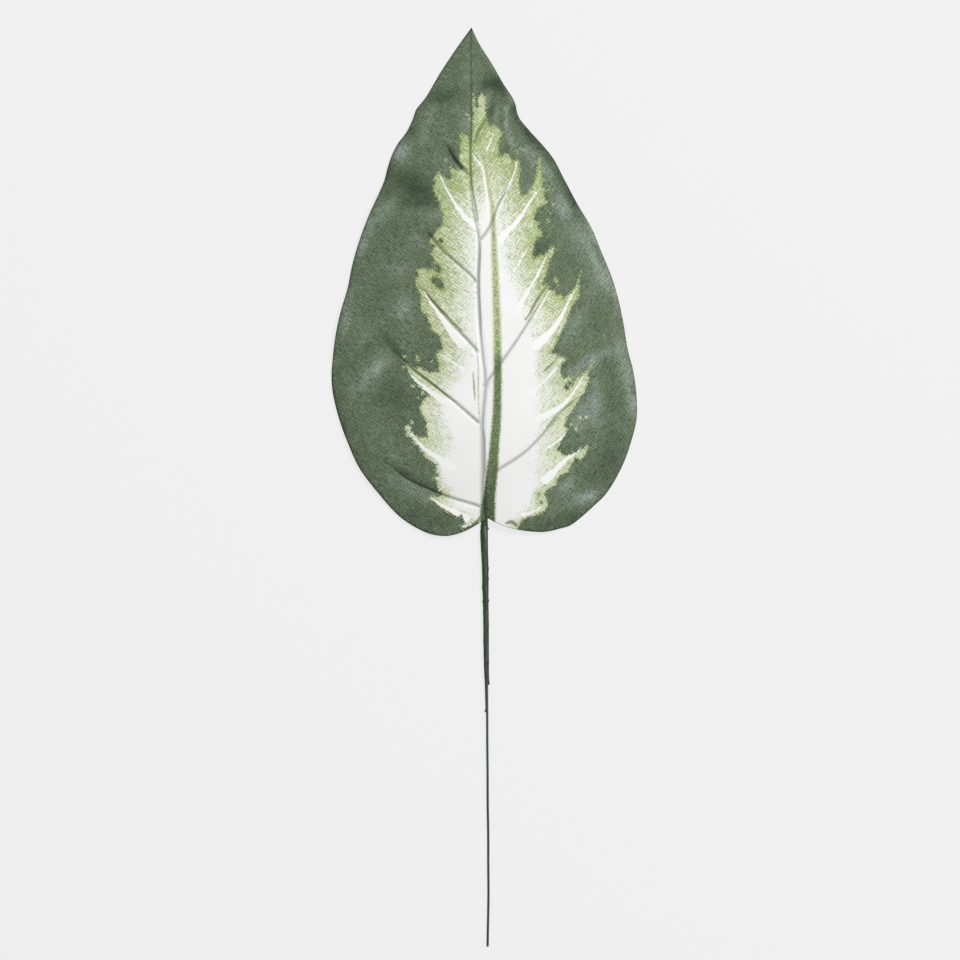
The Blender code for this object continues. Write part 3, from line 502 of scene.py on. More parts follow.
def midrib_x(y):
    """Where the midrib is across the blade, at this y."""
    return np.interp(y, MIDRIB_LINE[:, 1], MIDRIB_LINE[:, 0])


def half_width(y):
    """A smooth stand-in for half the blade's width, which the cross-wise fall follows."""
    below = np.clip((WIDEST_Y - y) / BASE_REACH, 0, BASE_LIMIT)
    above = np.clip((y - WIDEST_Y) / TIP_REACH, 0, TIP_LIMIT)
    return HALF_WIDTH * np.sqrt(1 - below**2) * (1 - above**TIP_POWER)


def hills(points, sizes):
    """The sum of oval hills, each (x, y, rise, reach along, reach across, turn), at each point."""
    x, y = points.T
    total = np.zeros(len(points))
    for at_x, at_y, rise, along, sideways, turn in sizes:
        c, s = math.cos(math.radians(turn)), math.sin(math.radians(turn))
        u = (c * (x - at_x) + s * (y - at_y)) / along
        v = (c * (y - at_y) - s * (x - at_x)) / sideways
        total += rise * np.exp(-(u**2) - v**2)
    return total


def pressed(points):
    """How deep the pressed veins are at each point, and how much painted shade the side veins put there, 0 to
    1.
    """
    total = np.zeros(len(points))
    vein_shade = hills(points, GROOVE_SHADE_SPOTS)
    for line, (depths, widths) in PRESSED_LINES:
        away, share = distance_to(line, points)
        depth = np.interp(share, (0, 1), depths)
        across = (away / np.interp(share, (0, 1), widths)) ** 2
        fade = np.clip((1 - share) / VEIN_FADE, 0, 1)
        total = np.maximum(total, depth * fade * np.exp(-across))
        if line is not MIDRIB_LINE:
            vein_shade = np.maximum(vein_shade, fade * np.exp(-across))
    return total, vein_shade


def arched(points):
    """The height of the blade's underside without its pressed veins."""
    x, y = points.T
    arch = ARCH_RISE * np.sin(math.pi * np.clip((y - ARCH_FOOT) / ARCH_SPAN, 0, 1))
    across = (x - midrib_x(y)) / half_width(y)
    return arch * (1 - across**2) + hills(points, SWELLS)


def placed(name, mesh, node):
    """An object with this mesh that stands for the CAD node, whose part it hides."""
    obj = bpy.data.objects.new(name, mesh)
    bpy.context.scene.collection.objects.link(obj)
    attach(obj, "root")
    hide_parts(node)
    return obj


def store(mesh, name, values):
    """Keeps a number for each of the mesh's points, for its material to read."""
    mesh.attributes.new(name, "FLOAT", "POINT").data.foreach_set("value", np.asarray(values, np.float32))


def lattice(low, high, pitch):
    """Points in staggered rows over the box."""
    rows = np.arange(low[1], high[1], pitch * math.sqrt(3) / 2)
    columns = np.arange(low[0], high[0], pitch)
    return np.array([(x + (i % 2) * pitch / 2, y) for i, y in enumerate(rows) for x in columns])


def light_depth(points):
    """How far each point, in millimetres, is inside the light part of the print."""
    depth = depth_in(LIGHT_PRINT, points)
    for x, y, radius in LIME_FLECKS:
        depth = np.maximum(depth, radius - np.hypot(points[:, 0] - x, points[:, 1] - y))
    for x, y, radius in DARK_ISLANDS:
        depth = np.minimum(depth, np.hypot(points[:, 0] - x, points[:, 1] - y) - radius)
    return depth


def blade_points():
    """The blade's points seen from above, and the edges that its triangles must follow."""
    outline = np.vstack([smooth_line(RIGHT_EDGE, EDGE_PITCH), smooth_line(LEFT_EDGE, EDGE_PITCH)[:-1]])
    count = len(outline)
    edges = [(i, (i + 1) % count) for i in range(count)]
    groups = [outline]
    for line, (_, widths) in PRESSED_LINES:
        along = np.gradient(line, axis=0)
        sideways = np.column_stack([along[:, 1], -along[:, 0]]) / np.linalg.norm(along, axis=1)[:, None]
        width = np.linspace(*widths, len(line))[:, None]
        for share in RAIL_SHARES:
            rail = (line + share * width * sideways)[1:-1]
            edges += [(count + i, count + i + 1) for i in range(len(rail) - 1)]
            count += len(rail)
            groups.append(rail)
    low, high = outline.min(axis=0), outline.max(axis=0)
    fine = lattice(low, high, FINE_PITCH)
    fine = fine[light_depth(fine / MM) > -PRINT_MARGIN]
    coarse = lattice(low, high, COARSE_PITCH)
    coarse = coarse[light_depth(coarse / MM) < -PRINT_MARGIN - PITCH_CHANGE]
    for points, pitch in ((fine, FINE_PITCH), (coarse, COARSE_PITCH)):
        keep = depth_in(outline, points) > EDGE_ROOM * pitch
        for line, (_, widths) in PRESSED_LINES:
            away, share = distance_to(line, points)
            keep &= away > max(RAIL_SHARES) * np.interp(share, (0, 1), widths) + RAIL_ROOM * pitch
        groups.append(points[keep])
    return np.vstack(groups), edges, list(range(len(outline)))


def store_print(mesh, flat, outline):
    """Keeps what the cloth's material needs to know about the print and the pressing, in millimetres."""
    points = flat / MM
    store(mesh, "inward", light_depth(points))
    store(mesh, "core", depth_in(WHITE_CORE, points))
    store(mesh, "stripe", depth_in(STRIPE, points))
    store(mesh, "edge", depth_in(outline / MM, points))
    vein = np.full(len(points), FAR_OUTSIDE)
    for start, end, line in WHITE_VEINS:
        away, share = distance_to(smooth_line(line, PRINT_STEP), points)
        vein = np.maximum(vein, start + (end - start) * share**1.5 - away)
    store(mesh, "white_vein", vein)
    # Olive print lines, and painted shade lines along the pressed veins
    olive = np.full(len(points), FAR_OUTSIDE)
    for width, line in OLIVE_PRINT_AND_SHADE_LINES:
        away, share = distance_to(smooth_line(line, PRINT_STEP), points)
        olive = np.maximum(olive, width * (1 - 0.5 * np.abs(2 * share - 1)) - away)
    store(mesh, "olive_print_and_shade_line", olive)
    # The sheen and shade painted on the dark part
    store(mesh, "sheen", hills(points, SHEEN_AND_SHADE_PATCHES))
    store(mesh, "tint", hills(points, LIME_PATCHES))
    # The painted shade in the side veins' grooves
    store(mesh, "vein_shade", pressed(flat)[1])
    store(mesh, "across", points[:, 0] - midrib_x(flat[:, 1]) / MM)


def make_blade(materials):
    """The printed cloth, with its pressed veins, arch, swells and folds."""
    points, edges, border = blade_points()
    outline = points[border]
    inside_constraints = 1
    merge_within = 1e-5
    flat = [tuple(point) for point in points]
    flat, _, faces, *_ = delaunay_2d_cdt(flat, edges, [border], inside_constraints, merge_within)
    flat = np.array([tuple(point) for point in flat])
    heights = arched(flat) + hills(flat, FOLDS) - pressed(flat)[0]
    heights = np.maximum(heights, 0) + CLOTH_THICKNESS
    mesh = bpy.data.meshes.new("cloth_blade")
    mesh.from_pydata(np.column_stack([flat, heights]).tolist(), [], [list(face) for face in faces])
    bm = bmesh.new()
    bm.from_mesh(mesh)
    for face in bm.faces:
        if face.normal.z < 0:
            face.normal_flip()
    bm.to_mesh(mesh)
    bm.free()
    store_print(mesh, flat, outline)
    mesh.shade_smooth()
    for material in materials:
        mesh.materials.append(material)
    blade = placed("cloth_blade", mesh, "leaf_blade")
    thicken = blade.modifiers.new("cloth_thickness", "SOLIDIFY")
    thicken.thickness = CLOTH_THICKNESS
    thicken.offset = -1
    thicken.material_offset = 1
    thicken.material_offset_rim = 2
    return blade, outline


def loft(bm, rings):
    """A closed skin over the rings of points, with flat ends."""
    rings = [[bm.verts.new(point) for point in ring] for ring in rings]
    for upper, lower in zip(rings, rings[1:]):
        for i, (a, b) in enumerate(zip(upper, lower)):
            bm.faces.new((a, upper[i - 1], lower[i - 1], b))
    bm.faces.new(rings[0])
    bm.faces.new(rings[-1])


def stalk_ring(y, left, right, bottom, top):
    """One cross-section of the petiole: round above, flat below, with faint flutes and the moulding nubs."""
    ring = []
    for i in range(STALK_SIDES):
        angle = 2 * math.pi * (i + 0.5) / STALK_SIDES
        swell = 1 + FLUTE_DEPTH * math.cos(FLUTES * angle + FLUTE_TWIST * y)
        swell += RIPPLE_DEPTH * math.sin(RIPPLE_TWIST * y + 2 * angle)
        x = (right - left) / 2 * swell * math.cos(angle)
        z = (top - bottom) * (WIDEST_LEVEL + (1 - WIDEST_LEVEL) * swell * math.sin(angle))
        for at_y, turn, rise, along, around in NUBS:
            off = (math.degrees(angle) - turn + 180) % 360 - 180
            lift = rise * math.exp(-(((y - at_y) / along) ** 2) - (off / around) ** 2)
            x += lift * math.cos(angle)
            z += lift * math.sin(angle)
        ring.append(((left + right) / 2 + x, y, bottom + min(max(z, 0), top - bottom + NUB_ROOM)))
    return ring


def sections(table):
    """The table's cross-sections on a smooth curve, and a last one drawn in to round the end off."""
    rows = smooth_line(table, STALK_STEP)
    rings = [stalk_ring(y, left, right, 0.0, top) for y, left, right, top in rows]
    y, left, right, top = rows[-1]
    inset = END_INSET * (right - left)
    rings.append(stalk_ring(y - END_REACH * STALK_STEP, left + inset, right - inset, 0.0, END_HEIGHT * top))
    return rings


def rib_sections():
    """The rings behind the blade, which hug the pressed midrib's underside."""
    rings = []
    sizes = np.array(sorted(RIB_SIZES))
    for y in np.arange(RIB_SIZES[0][0], RIB_SIZES[-1][0], -RIB_STEP):
        width, height = (np.interp(y, sizes[:, 0], sizes[:, i]) for i in (1, 2))
        x = float(midrib_x(y))
        spot = np.array([(x, y)])
        top = float((arched(spot) - pressed(spot)[0])[0]) - SEAT_GAP
        rings.append(stalk_ring(y, x - width / 2, x + width / 2, max(top - height, 0), top))
    return rings


def tube(bm, points, radius, sides):
    """A round bar along the points, with a slightly rounded cut end."""
    tip = points[-1] - (0, TIP_BEVEL * radius, 0)
    turns = [2 * math.pi * (i + 0.5) / sides for i in range(sides)]
    rings = []
    for (x, y, z), r in zip([*points, tip], [radius] * len(points) + [(1 - TIP_BEVEL) * radius]):
        rings.append([(x + r * math.cos(turn), y, z + r * math.sin(turn)) for turn in turns])
    loft(bm, rings)


def joined(cutter, *forms):
    """One mesh from forms that overlap, with the cutter taken away."""
    objects = []
    for i, form in enumerate((*forms, cutter)):
        bmesh.ops.recalc_face_normals(form, faces=form.faces)
        mesh = bpy.data.meshes.new(f"form_{i}")
        form.to_mesh(mesh)
        form.free()
        obj = bpy.data.objects.new(f"form_{i}", mesh)
        bpy.context.scene.collection.objects.link(obj)
        objects.append(obj)
    whole = objects[0]
    for other in objects[1:]:
        fuse = whole.modifiers.new(other.name, "BOOLEAN")
        fuse.operation = "DIFFERENCE" if other is objects[-1] else "UNION"
        fuse.solver = "EXACT"
        fuse.object = other
    graph = bpy.context.evaluated_depsgraph_get()
    mesh = bpy.data.meshes.new_from_object(whole.evaluated_get(graph))
    for obj in objects:
        bpy.data.meshes.remove(obj.data)
    return mesh


def make_petiole(material):
    """The moulded petiole: its rib behind the blade, its stalk and its two tails beside the wire."""
    stalk, right, left, bore = (bmesh.new() for _ in range(4))
    loft(stalk, rib_sections() + sections(STALK_SECTIONS))
    loft(right, sections(RIGHT_TAIL))
    loft(left, sections(LEFT_TAIL))
    wire = smooth_line(WIRE_PATH, WIRE_STEP)
    wire[0, 1] += SEAT_GAP
    tube(bore, wire[wire[:, 1] > BORE_END], WIRE_RADIUS + BORE_CLEARANCE, WIRE_SIDES)
    mesh = joined(bore, stalk, right, left)
    mesh.name = "moulded_petiole"
    mesh.materials.clear()
    mesh.materials.append(material)
    # Painted glints and dark marks, for the plastic's material
    store(mesh, "glint_and_mark", hills(np.array([vertex.co[:2] for vertex in mesh.vertices]) / MM, PETIOLE_GLINTS_AND_MARKS))
    mesh.shade_smooth()
    mesh.set_sharp_from_angle(angle=math.radians(STALK_SHARP))
    return placed("moulded_petiole", mesh, "petiole")


def make_wire(material):
    """The lacquered steel wire, from inside the petiole to its cut end."""
    bm = bmesh.new()
    path = smooth_line(WIRE_PATH, WIRE_STEP)
    free = np.clip((WAVES_START - path[:, 1]) / WAVES_RISE, 0, 1)
    path[:, 0] += free * WAVE_DEPTH * np.sin(path[:, 1] * WAVE_TWIST)
    path[-1, 1] += TIP_BEVEL * WIRE_RADIUS
    tube(bm, path, WIRE_RADIUS, WIRE_SIDES)
    bmesh.ops.recalc_face_normals(bm, faces=bm.faces)
    mesh = bpy.data.meshes.new("steel_wire")
    bm.to_mesh(mesh)
    bm.free()
    mesh.materials.append(material)
    mesh.shade_smooth()
    mesh.set_sharp_from_angle(angle=math.radians(WIRE_SHARP))
    return placed("steel_wire", mesh, "stem_wire")


def paint(red, green, blue):
    """A shader colour from its 0 to 255 values as seen on a screen."""
    shares = [value / 255 for value in (red, green, blue)]
    return (*(s / 12.92 if s <= 0.04045 else ((s + 0.055) / 1.055) ** 2.4 for s in shares), 1)


class Amount:
    """A number in a material's graph. Sums, products and the like of it add the nodes that work them out."""

    def __init__(self, graph, socket):
        self.graph = graph
        self.socket = socket

    def maths(self, operation, *others):
        node = self.graph.tree.nodes.new("ShaderNodeMath")
        node.operation = operation
        for socket, value in zip(node.inputs, (self, *others)):
            self.graph.feed(socket, value)
        return Amount(self.graph, node.outputs[0])

    def __add__(self, other):
        return self.maths("ADD", other)

    def __sub__(self, other):
        return self.maths("SUBTRACT", other)

    def __mul__(self, other):
        return self.maths("MULTIPLY", other)

    def __truediv__(self, other):
        return self.maths("DIVIDE", other)

    def __rsub__(self, other):
        return self.maths("MULTIPLY_ADD", -1, other)

    __radd__ = __add__
    __rmul__ = __mul__

    def ramp(self, start, end):
        """0 at the start and 1 at the end, which may be the lower, with a smooth change between them."""
        node = self.graph.tree.nodes.new("ShaderNodeMapRange")
        node.interpolation_type = "SMOOTHSTEP"
        self.graph.feed(node.inputs["Value"], self)
        self.graph.feed(node.inputs["From Min"], start)
        self.graph.feed(node.inputs["From Max"], end)
        return Amount(self.graph, node.outputs["Result"])


class Graph:
    """A new material's node graph, with short ways to add its nodes. Its x, y and z are in millimetres."""

    def __init__(self, name):
        self.material = bpy.data.materials.new(name)
        self.material.use_nodes = True
        self.tree = self.material.node_tree
        self.shader = self.tree.nodes["Principled BSDF"]
        place = self.tree.nodes.new("ShaderNodeTexCoord")
        split = self.tree.nodes.new("ShaderNodeSeparateXYZ")
        self.feed(split.inputs[0], place.outputs["Object"])
        self.x, self.y, self.z = (Amount(self, socket) * (1 / MM) for socket in split.outputs)

    def feed(self, socket, value):
        """Links or sets a socket."""
        if isinstance(value, Amount):
            value = value.socket
        if isinstance(value, bpy.types.NodeSocket):
            self.tree.links.new(value, socket)
        elif isinstance(value, tuple):
            socket.default_value = value[:len(socket.default_value)]
        else:
            socket.default_value = value

    def stored(self, name):
        """A number that the mesh keeps for each of its points."""
        node = self.tree.nodes.new("ShaderNodeAttribute")
        node.attribute_name = name
        return Amount(self, node.outputs["Fac"])

    def vector(self, x, y, z=0.0):
        node = self.tree.nodes.new("ShaderNodeCombineXYZ")
        for socket, value in zip(node.inputs, (x, y, z)):
            self.feed(socket, value)
        return node.outputs[0]

    def noise(self, vector, scale=1.0, detail=2.0, roughness=0.5):
        """Soft noise from 0 to 1, about 0.5 on average."""
        node = self.tree.nodes.new("ShaderNodeTexNoise")
        self.feed(node.inputs["Vector"], vector)
        node.inputs["Scale"].default_value = scale
        node.inputs["Detail"].default_value = detail
        node.inputs["Roughness"].default_value = roughness
        return Amount(self, node.outputs["Fac"])

    def mix(self, share, first, second):
        """The first colour where the share is 0 and the second where it is 1."""
        node = self.tree.nodes.new("ShaderNodeMix")
        node.data_type = "RGBA"
        self.feed(node.inputs[0], share)
        self.feed(node.inputs[6], first)
        self.feed(node.inputs[7], second)
        return node.outputs[2]

    def layered(self, colour, layers):
        """The colour under layers of paint, each (how much it covers, its colour)."""
        for share, layer in layers:
            colour = self.mix(share, colour, layer)
        return colour

    def shaded(self, colour, brightness):
        """The colour made darker or lighter."""
        node = self.tree.nodes.new("ShaderNodeVectorMath")
        node.operation = "SCALE"
        self.feed(node.inputs[0], colour)
        self.feed(node.inputs["Scale"], brightness)
        return node.outputs[0]

    def bump(self, height, distance):
        """Turns a height into relief, in which a rise of 1 is that many metres."""
        node = self.tree.nodes.new("ShaderNodeBump")
        node.inputs["Distance"].default_value = distance
        self.feed(node.inputs["Height"], height)
        self.feed(self.shader.inputs["Normal"], node.outputs[0])

    def finish(self, colour, roughness, specular):
        self.feed(self.shader.inputs["Base Color"], colour)
        self.feed(self.shader.inputs["Roughness"], roughness)
        self.shader.inputs["Specular IOR Level"].default_value = specular
        return self.material


Weave = namedtuple("Weave", "rows cross slubs grain cloudy")


def weave(graph):
    """The cloth's threads and the unevenness of its print, all about 0 on average.

    The threads run on the bias, rows one way and cross the other. On each half of the blade the longer slubs
    run outwards and up, as its veins do.
    """
    c, s = math.cos(math.radians(THREAD_TURN)), math.sin(math.radians(THREAD_TURN))
    u = graph.x * c + graph.y * s
    v = graph.y * c - graph.x * s
    wander = (graph.noise(graph.vector(u, v), 0.1, 1) - 0.5) * 2
    turn = 2 * math.pi / THREAD_PITCH
    rows = ((u + wander) * turn).maths("SINE")
    cross = ((v - wander) * turn).maths("SINE")
    along_u = graph.noise(graph.vector(u / SLUB_LENGTH, v / SLUB_WIDTH, 7.0), 1, 2, 0.6)
    along_v = graph.noise(graph.vector(u / SLUB_WIDTH, v / SLUB_LENGTH, 3.0), 1, 2, 0.6)
    right = graph.stored("across").ramp(-2, 2)
    outward = along_v + (along_u - along_v) * right
    inward = along_u + (along_v - along_u) * right
    slubs = outward * 0.64 + inward * 0.36 - 0.5
    grain = graph.noise(graph.vector(graph.x, graph.y, 2.0), 1.25, 2, 0.7) - 0.5
    cloudy = graph.noise(graph.vector(graph.x, graph.y, 5.0), 0.06, 3) - 0.5
    return Weave(rows, cross, slubs, grain, cloudy)


def green_print(graph, cloth):
    """The dark green, paler and greyer where sheen is painted, darker where shade is painted."""
    tone = graph.stored("sheen") * 0.5 + 0.5 + cloth.cloudy * 0.35
    green = graph.mix(tone.ramp(0, 0.62), paint(49, 64, 45), paint(96, 111, 87))
    # The colour of the painted sheen
    green = graph.mix(tone.ramp(0.5, 1.1), green, paint(140, 152, 142))
    threads = cloth.rows * 0.11 + cloth.cross * 0.09
    return graph.shaded(green, cloth.grain * 2.4 + cloth.slubs * 3.2 + threads + 1.03)


def light_print(graph, cloth, down):
    """The light part: lime hatching thinning out to white, an olive fringe, olive print lines and painted
    groove shade lines, white veins.
    """
    inward = graph.stored("inward")
    core = graph.stored("core")
    tint = graph.stored("tint")
    outward_of_core = (core * -1).maths("MAXIMUM", 0)
    spread = outward_of_core / (outward_of_core + inward.maths("MAXIMUM", 0.05) + 0.5)
    low = graph.y.ramp(120, 30)
    strength = spread * (1 - low * 0.45) * (1 - graph.y.ramp(236, 250) * 0.45) + tint * 0.25
    lime = graph.mix(strength, paint(204, 212, 178), paint(155, 171, 110))
    lime = graph.shaded(lime, cloth.grain * 1.5 + cloth.slubs + 1)
    olive = graph.shaded(paint(112, 128, 78), cloth.grain * 2.0 + 1)
    white = graph.shaded(paint(240, 240, 239), cloth.cloudy * 0.08 + 1 - down.ramp(0.6, 1) * 0.05)
    thread = graph.mix(spread, white, paint(214, 221, 190))

    cover = spread.maths("POWER", 0.5) * 0.95 - 0.34 + graph.y.ramp(20, 200) * 0.17 + tint * 0.4
    dots = cloth.slubs * 4.2 + cloth.grain * 1.4 + cloth.rows * 0.14 + cloth.cross * 0.10
    light = graph.mix((dots + 0.5 - cover).ramp(-0.2, 0.24), lime, thread)
    light = graph.mix((core + dots * 5).ramp(-2.0, 0.0), light, white)
    fringe = (inward + cloth.grain * 5).ramp(1.5, 0.0)
    # Olive print lines, and painted groove shade along the pressed veins
    lines = graph.stored("olive_print_and_shade_line") + cloth.grain * 1.6
    veins = graph.stored("white_vein") + cloth.grain * 1.5 + cloth.slubs * 2.5
    return graph.layered(light, [
        (fringe, graph.mix(0.35 - low * 0.25, lime, olive)),
        (lines.ramp(-0.5, 0.4) * 0.85, olive),
        (veins.ramp(-0.6, 0.4), paint(243, 243, 241)),
    ])


def stripe_print(graph, cloth, down):
    """The printed midrib, darker in steps towards the petiole, with painted groove shade on its left there.
    """
    stripe = graph.layered(paint(168, 179, 134), [
        (down.ramp(0.1, 0.5), paint(156, 171, 120)),
        (down.ramp(0.4, 0.47), paint(104, 120, 82)),
        (down.ramp(0.7, 1.02), paint(72, 88, 60)),
        # Painted shade of the midrib's groove, on the stripe's left near the petiole
        (graph.x.ramp(3.4, 1.0) * down.ramp(0.72, 0.95) * 0.7, paint(46, 62, 42)),
    ])
    return graph.shaded(stripe, cloth.grain * 4 + cloth.slubs * 2 + cloth.rows * 0.1 + 1.05)


def print_colour(graph, cloth):
    """The print on the cloth: dark green, a light part with a ragged edge, and the midrib stripe."""
    down = (FADE_TOP - graph.y) / FADE_LENGTH
    scatter = graph.noise(graph.vector(graph.x, graph.y, 9.0), 0.75, 1)
    stray = (scatter - 0.68).maths("MAXIMUM", 0) * 26 + (scatter - 0.32).maths("MINIMUM", 0) * 14
    uneven = cloth.grain * 4.5 + cloth.slubs * 4.0 + cloth.rows * 0.2 + cloth.cross * 0.2 + stray
    ragged = graph.stored("inward") + uneven
    colour = graph.mix(ragged.ramp(-0.4, 0.4), green_print(graph, cloth), light_print(graph, cloth, down))
    fuzz = graph.stored("stripe") + cloth.grain * 4
    colour = graph.mix(fuzz.ramp(-1.1, 0.1) * 0.5, colour, paint(158, 174, 116))
    return graph.mix(fuzz.ramp(-0.2, 0.9), colour, stripe_print(graph, cloth, down))


def groove_shaded(graph, colour, strength):
    """The colour with painted shade in the pressed veins; in the midrib's groove it is sharp on its right."""
    beside = graph.stored("across")
    upper = graph.y.ramp(95, 110) - graph.y.ramp(150, 165)
    middle = graph.y.ramp(40, 60) - graph.y.ramp(90, 105)
    lower = graph.y.ramp(4, 12) - graph.y.ramp(30, 40)
    right = upper * 0.8 + lower * 1.5 + 1.1
    softness = graph.y.ramp(105, 40) * 1.6 + 1.5
    groove = (right - beside).ramp(0, 0.7) * (beside / softness + 1).ramp(0, 1)
    shallow = middle * 0.15 + lower * 0.12 + graph.y.ramp(150, 185) * 0.4
    printed = graph.stored("inward").ramp(-1, 1)
    vein_shade = graph.stored("vein_shade") * (1.25 - printed * 0.3)
    depth = (groove * (1 - shallow)).maths("MAXIMUM", vein_shade)
    # The painted shade: near black on the dark print, grey-olive on the light
    painted_shade = graph.mix(printed, paint(26, 36, 22), paint(98, 109, 80))
    return graph.mix(depth * strength, colour, painted_shade)


def cloth_face():
    """The printed, coated face of the cloth, with painted shade in its pressed veins, sealed darker along its
    cut edge where it is green.
    """
    graph = Graph("cloth_face")
    cloth = weave(graph)
    # Painted shade in the pressed veins
    colour = groove_shaded(graph, print_colour(graph, cloth), 0.6)
    sealed = graph.stored("edge").ramp(0.9, 0.0) * graph.stored("inward").ramp(0.5, -0.5)
    colour = graph.shaded(colour, 1 - sealed * 0.3)
    # Where sheen is painted the cloth is also less rough
    sheen = graph.stored("sheen").maths("MAXIMUM", 0)
    graph.bump(cloth.rows * cloth.cross * 0.25 + cloth.slubs, 0.00010)
    graph.shader.inputs["Sheen Weight"].default_value = 0.05
    return graph.finish(colour, 0.66 - sheen * 0.12 + cloth.slubs * 0.2, 0.28)


def cloth_back():
    """The unprinted back, where the print shows through paler, with fainter painted shade in the pressed
    veins.
    """
    graph = Graph("cloth_back")
    cloth = weave(graph)
    colour = graph.mix(0.5, print_colour(graph, cloth), paint(196, 205, 186))
    # Fainter painted shade in the pressed veins
    colour = groove_shaded(graph, colour, 0.25)
    graph.bump(cloth.rows * cloth.cross * 0.3 + cloth.slubs, 0.00012)
    return graph.finish(colour, 0.8 + cloth.slubs * 0.2, 0.2)


def cloth_rim():
    """The heat-cut edge: the coating is sealed dark in the green, and pale in the white."""
    graph = Graph("cloth_rim")
    fray = graph.noise(graph.vector(graph.x, graph.y, graph.z), 2.5, 3, 0.7)
    dark = graph.shaded(paint(52, 64, 56), (fray - 0.5) * 1.2 + 1)
    colour = graph.mix(graph.stored("inward").ramp(-0.3, 0.3), dark, paint(226, 228, 222))
    graph.bump(fray, 0.0001)
    return graph.finish(colour, 0.6 + (fray - 0.5) * 0.3, 0.3)


def petiole_plastic():
    """Soft green plastic with lengthwise streaks, painted shade towards its edges, painted glints, dark marks
    and brown stains.
    """
    graph = Graph("petiole_plastic")
    streaks = graph.noise(graph.vector(graph.x / 0.45, graph.y / 14, graph.z / 0.6), 1, 3, 0.6)
    patches = graph.noise(graph.vector(graph.x / 2, graph.y / 5, graph.z), 1, 3)
    specks = graph.noise(graph.vector(graph.x, graph.y, graph.z), 3.2, 2, 0.8)
    glints_and_marks = graph.stored("glint_and_mark")
    beside = graph.x + graph.y * 0.0165 + 0.1
    end = graph.y.ramp(-109, -128) * graph.x.ramp(1.2, 2.4)
    stain = (end + (patches - 0.5) * 0.8).ramp(0.35, 0.9)
    colour = graph.mix(streaks.ramp(0.3, 0.7), paint(35, 50, 34), paint(65, 82, 56))
    colour = graph.layered(colour, [
        (patches.ramp(0.45, 0.75) * 0.5, paint(76, 89, 79)),
        # Painted shade down its left and right sides
        (beside.ramp(-0.5, -1.7) * 0.75, paint(30, 37, 44)),
        (beside.ramp(0.8, 1.7) * 0.75, paint(28, 38, 28)),
        (stain * 0.35, paint(70, 66, 50)),
        (specks.ramp(0.66, 0.75) * 0.5, paint(30, 38, 32)),
        # Painted glints
        (glints_and_marks.ramp(0, 1) * 0.8, paint(128, 140, 126)),
        (glints_and_marks.ramp(0, -1) * 0.85, paint(36, 30, 26)),
    ])
    graph.bump(streaks * 0.7 + specks * 0.3, 0.00012)
    return graph.finish(colour, 0.34 + (patches - 0.5) * 0.3, 0.5)


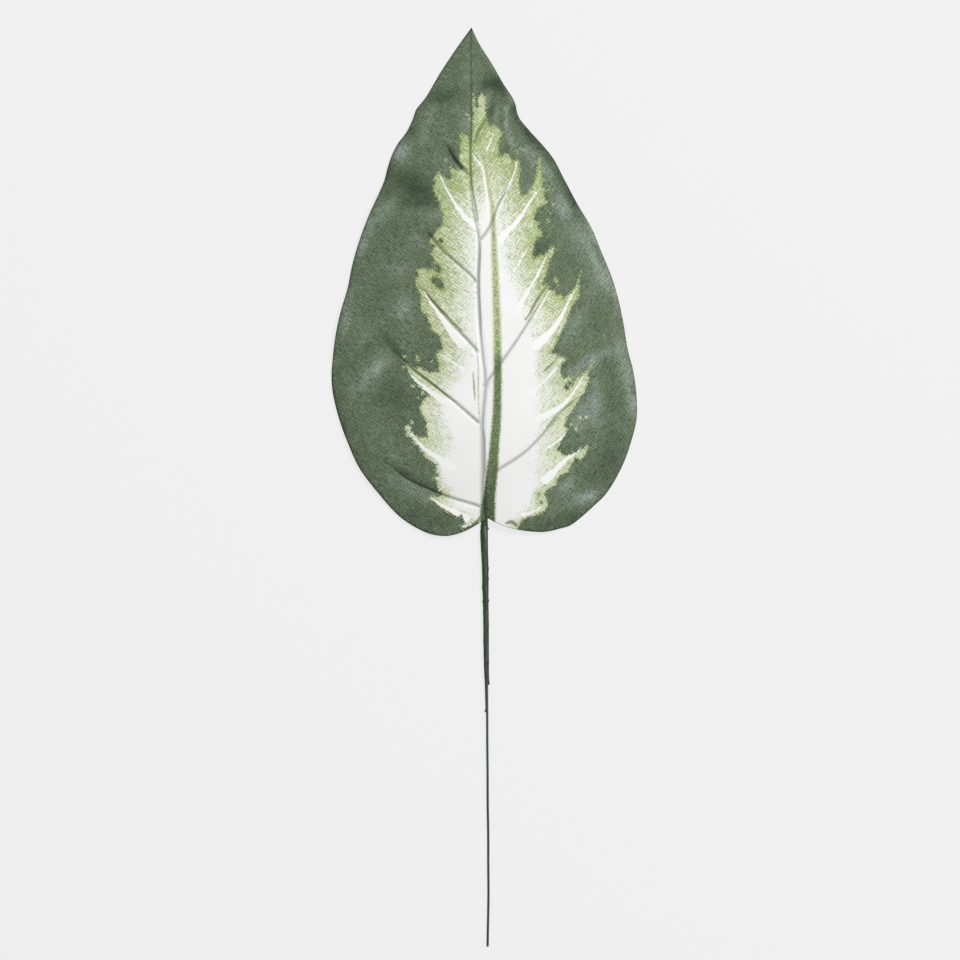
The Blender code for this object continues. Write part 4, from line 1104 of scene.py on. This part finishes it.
def wire_lacquer():
    """Green lacquer: painted shade, blueish, on the left, greener by the petiole, darker lower down, off at
    the cut end.
    """
    graph = Graph("wire_lacquer")
    runs = graph.noise(graph.vector(graph.x / 0.8, graph.y / 9, graph.z / 0.8), 1, 3, 0.6)
    specks = graph.noise(graph.vector(graph.x, graph.y, graph.z), 2.6, 3, 0.7)
    # Painted shade on the wire's left side, away from the lamp
    lit_side = (graph.x - 2.4 + (runs - 0.5) * 0.8).ramp(-0.7, 0.5)
    lacquer = graph.mix(lit_side, paint(44, 54, 60), paint(66, 82, 72))
    lacquer = graph.shaded(lacquer, 1 - graph.y.ramp(-188, -204) * 0.34)
    above_cut = graph.y - WIRE_PATH[-1][1] / MM
    bare = (above_cut - (runs - 0.5) * 2.5).ramp(BARE_TIP, BARE_TIP - 1.5)
    film = (graph.y + 146.5 + (specks - 0.5) * 3).ramp(-1, 1)
    colour = graph.layered(lacquer, [
        # The film by the petiole keeps the painted shade on its left
        (film, graph.mix(lit_side, paint(66, 81, 66), paint(76, 98, 70))),
        (specks.ramp(0.6, 0.78) * 0.5, paint(44, 52, 46)),
        (bare, graph.mix(specks.ramp(0.35, 0.7), paint(62, 58, 46), paint(104, 98, 82))),
    ])
    graph.feed(graph.shader.inputs["Metallic"], bare * 0.75)
    graph.bump(runs * 0.6 + specks * 0.4, 0.00006)
    return graph.finish(colour, 0.36 + (specks - 0.5) * 0.3 + bare * 0.12, 0.5)


def floor_material():
    """A pale studio floor, lit a little from within so that shadows on it stay faint."""
    graph = Graph("floor")
    graph.shader.inputs["Emission Color"].default_value = (1, 1, 1, 1)
    graph.shader.inputs["Emission Strength"].default_value = FLOOR_GLOW
    return graph.finish(paint(96, 96, 96), 0.9, 0.0)


def make_floor():
    mesh = bpy.data.meshes.new("floor")
    far, low = FLOOR_REACH, -FLOOR_DROP
    corners = [(-far, -far, low), (far, -far, low), (far, far, low), (-far, far, low)]
    mesh.from_pydata(corners, [], [(0, 1, 2, 3)])
    mesh.materials.append(floor_material())
    floor = bpy.data.objects.new("floor", mesh)
    bpy.context.scene.collection.objects.link(floor)


def make_light():
    """Even light from all round, and a large soft lamp from the upper right."""
    lamp = bpy.data.lights.new("key", "AREA")
    lamp.shape = "DISK"
    lamp.size = LAMP_SIZE
    lamp.energy = LAMP_POWER
    key = bpy.data.objects.new("key", lamp)
    key.location = LAMP_PLACE
    key.rotation_euler = key.location.to_track_quat("Z", "Y").to_euler()
    bpy.context.scene.collection.objects.link(key)
    world = bpy.data.worlds.new("studio")
    world.use_nodes = True
    sky = world.node_tree.nodes["Background"]
    sky.inputs["Color"].default_value = (1, 1, 1, 1)
    sky.inputs["Strength"].default_value = SKY_STRENGTH
    bpy.context.scene.world = world


def make_camera():
    """Straight above the leaf, with the photograph's framing."""
    lens = bpy.data.cameras.new("camera")
    lens.lens = CAMERA_LENS
    lens.sensor_width = CAMERA_SENSOR
    lens.clip_end = CAMERA_REACH
    camera = bpy.data.objects.new("camera", lens)
    camera.location = CAMERA_PLACE
    bpy.context.scene.collection.objects.link(camera)
    bpy.context.scene.camera = camera


def main():
    blade, outline = make_blade([cloth_face(), cloth_back(), cloth_rim()])
    petiole = make_petiole(petiole_plastic())
    make_wire(wire_lacquer())
    width, length = outline.max(axis=0) - outline.min(axis=0)
    make_floor()
    make_light()
    make_camera()
    view = bpy.context.scene.view_settings
    view.view_transform = "Standard"


main()
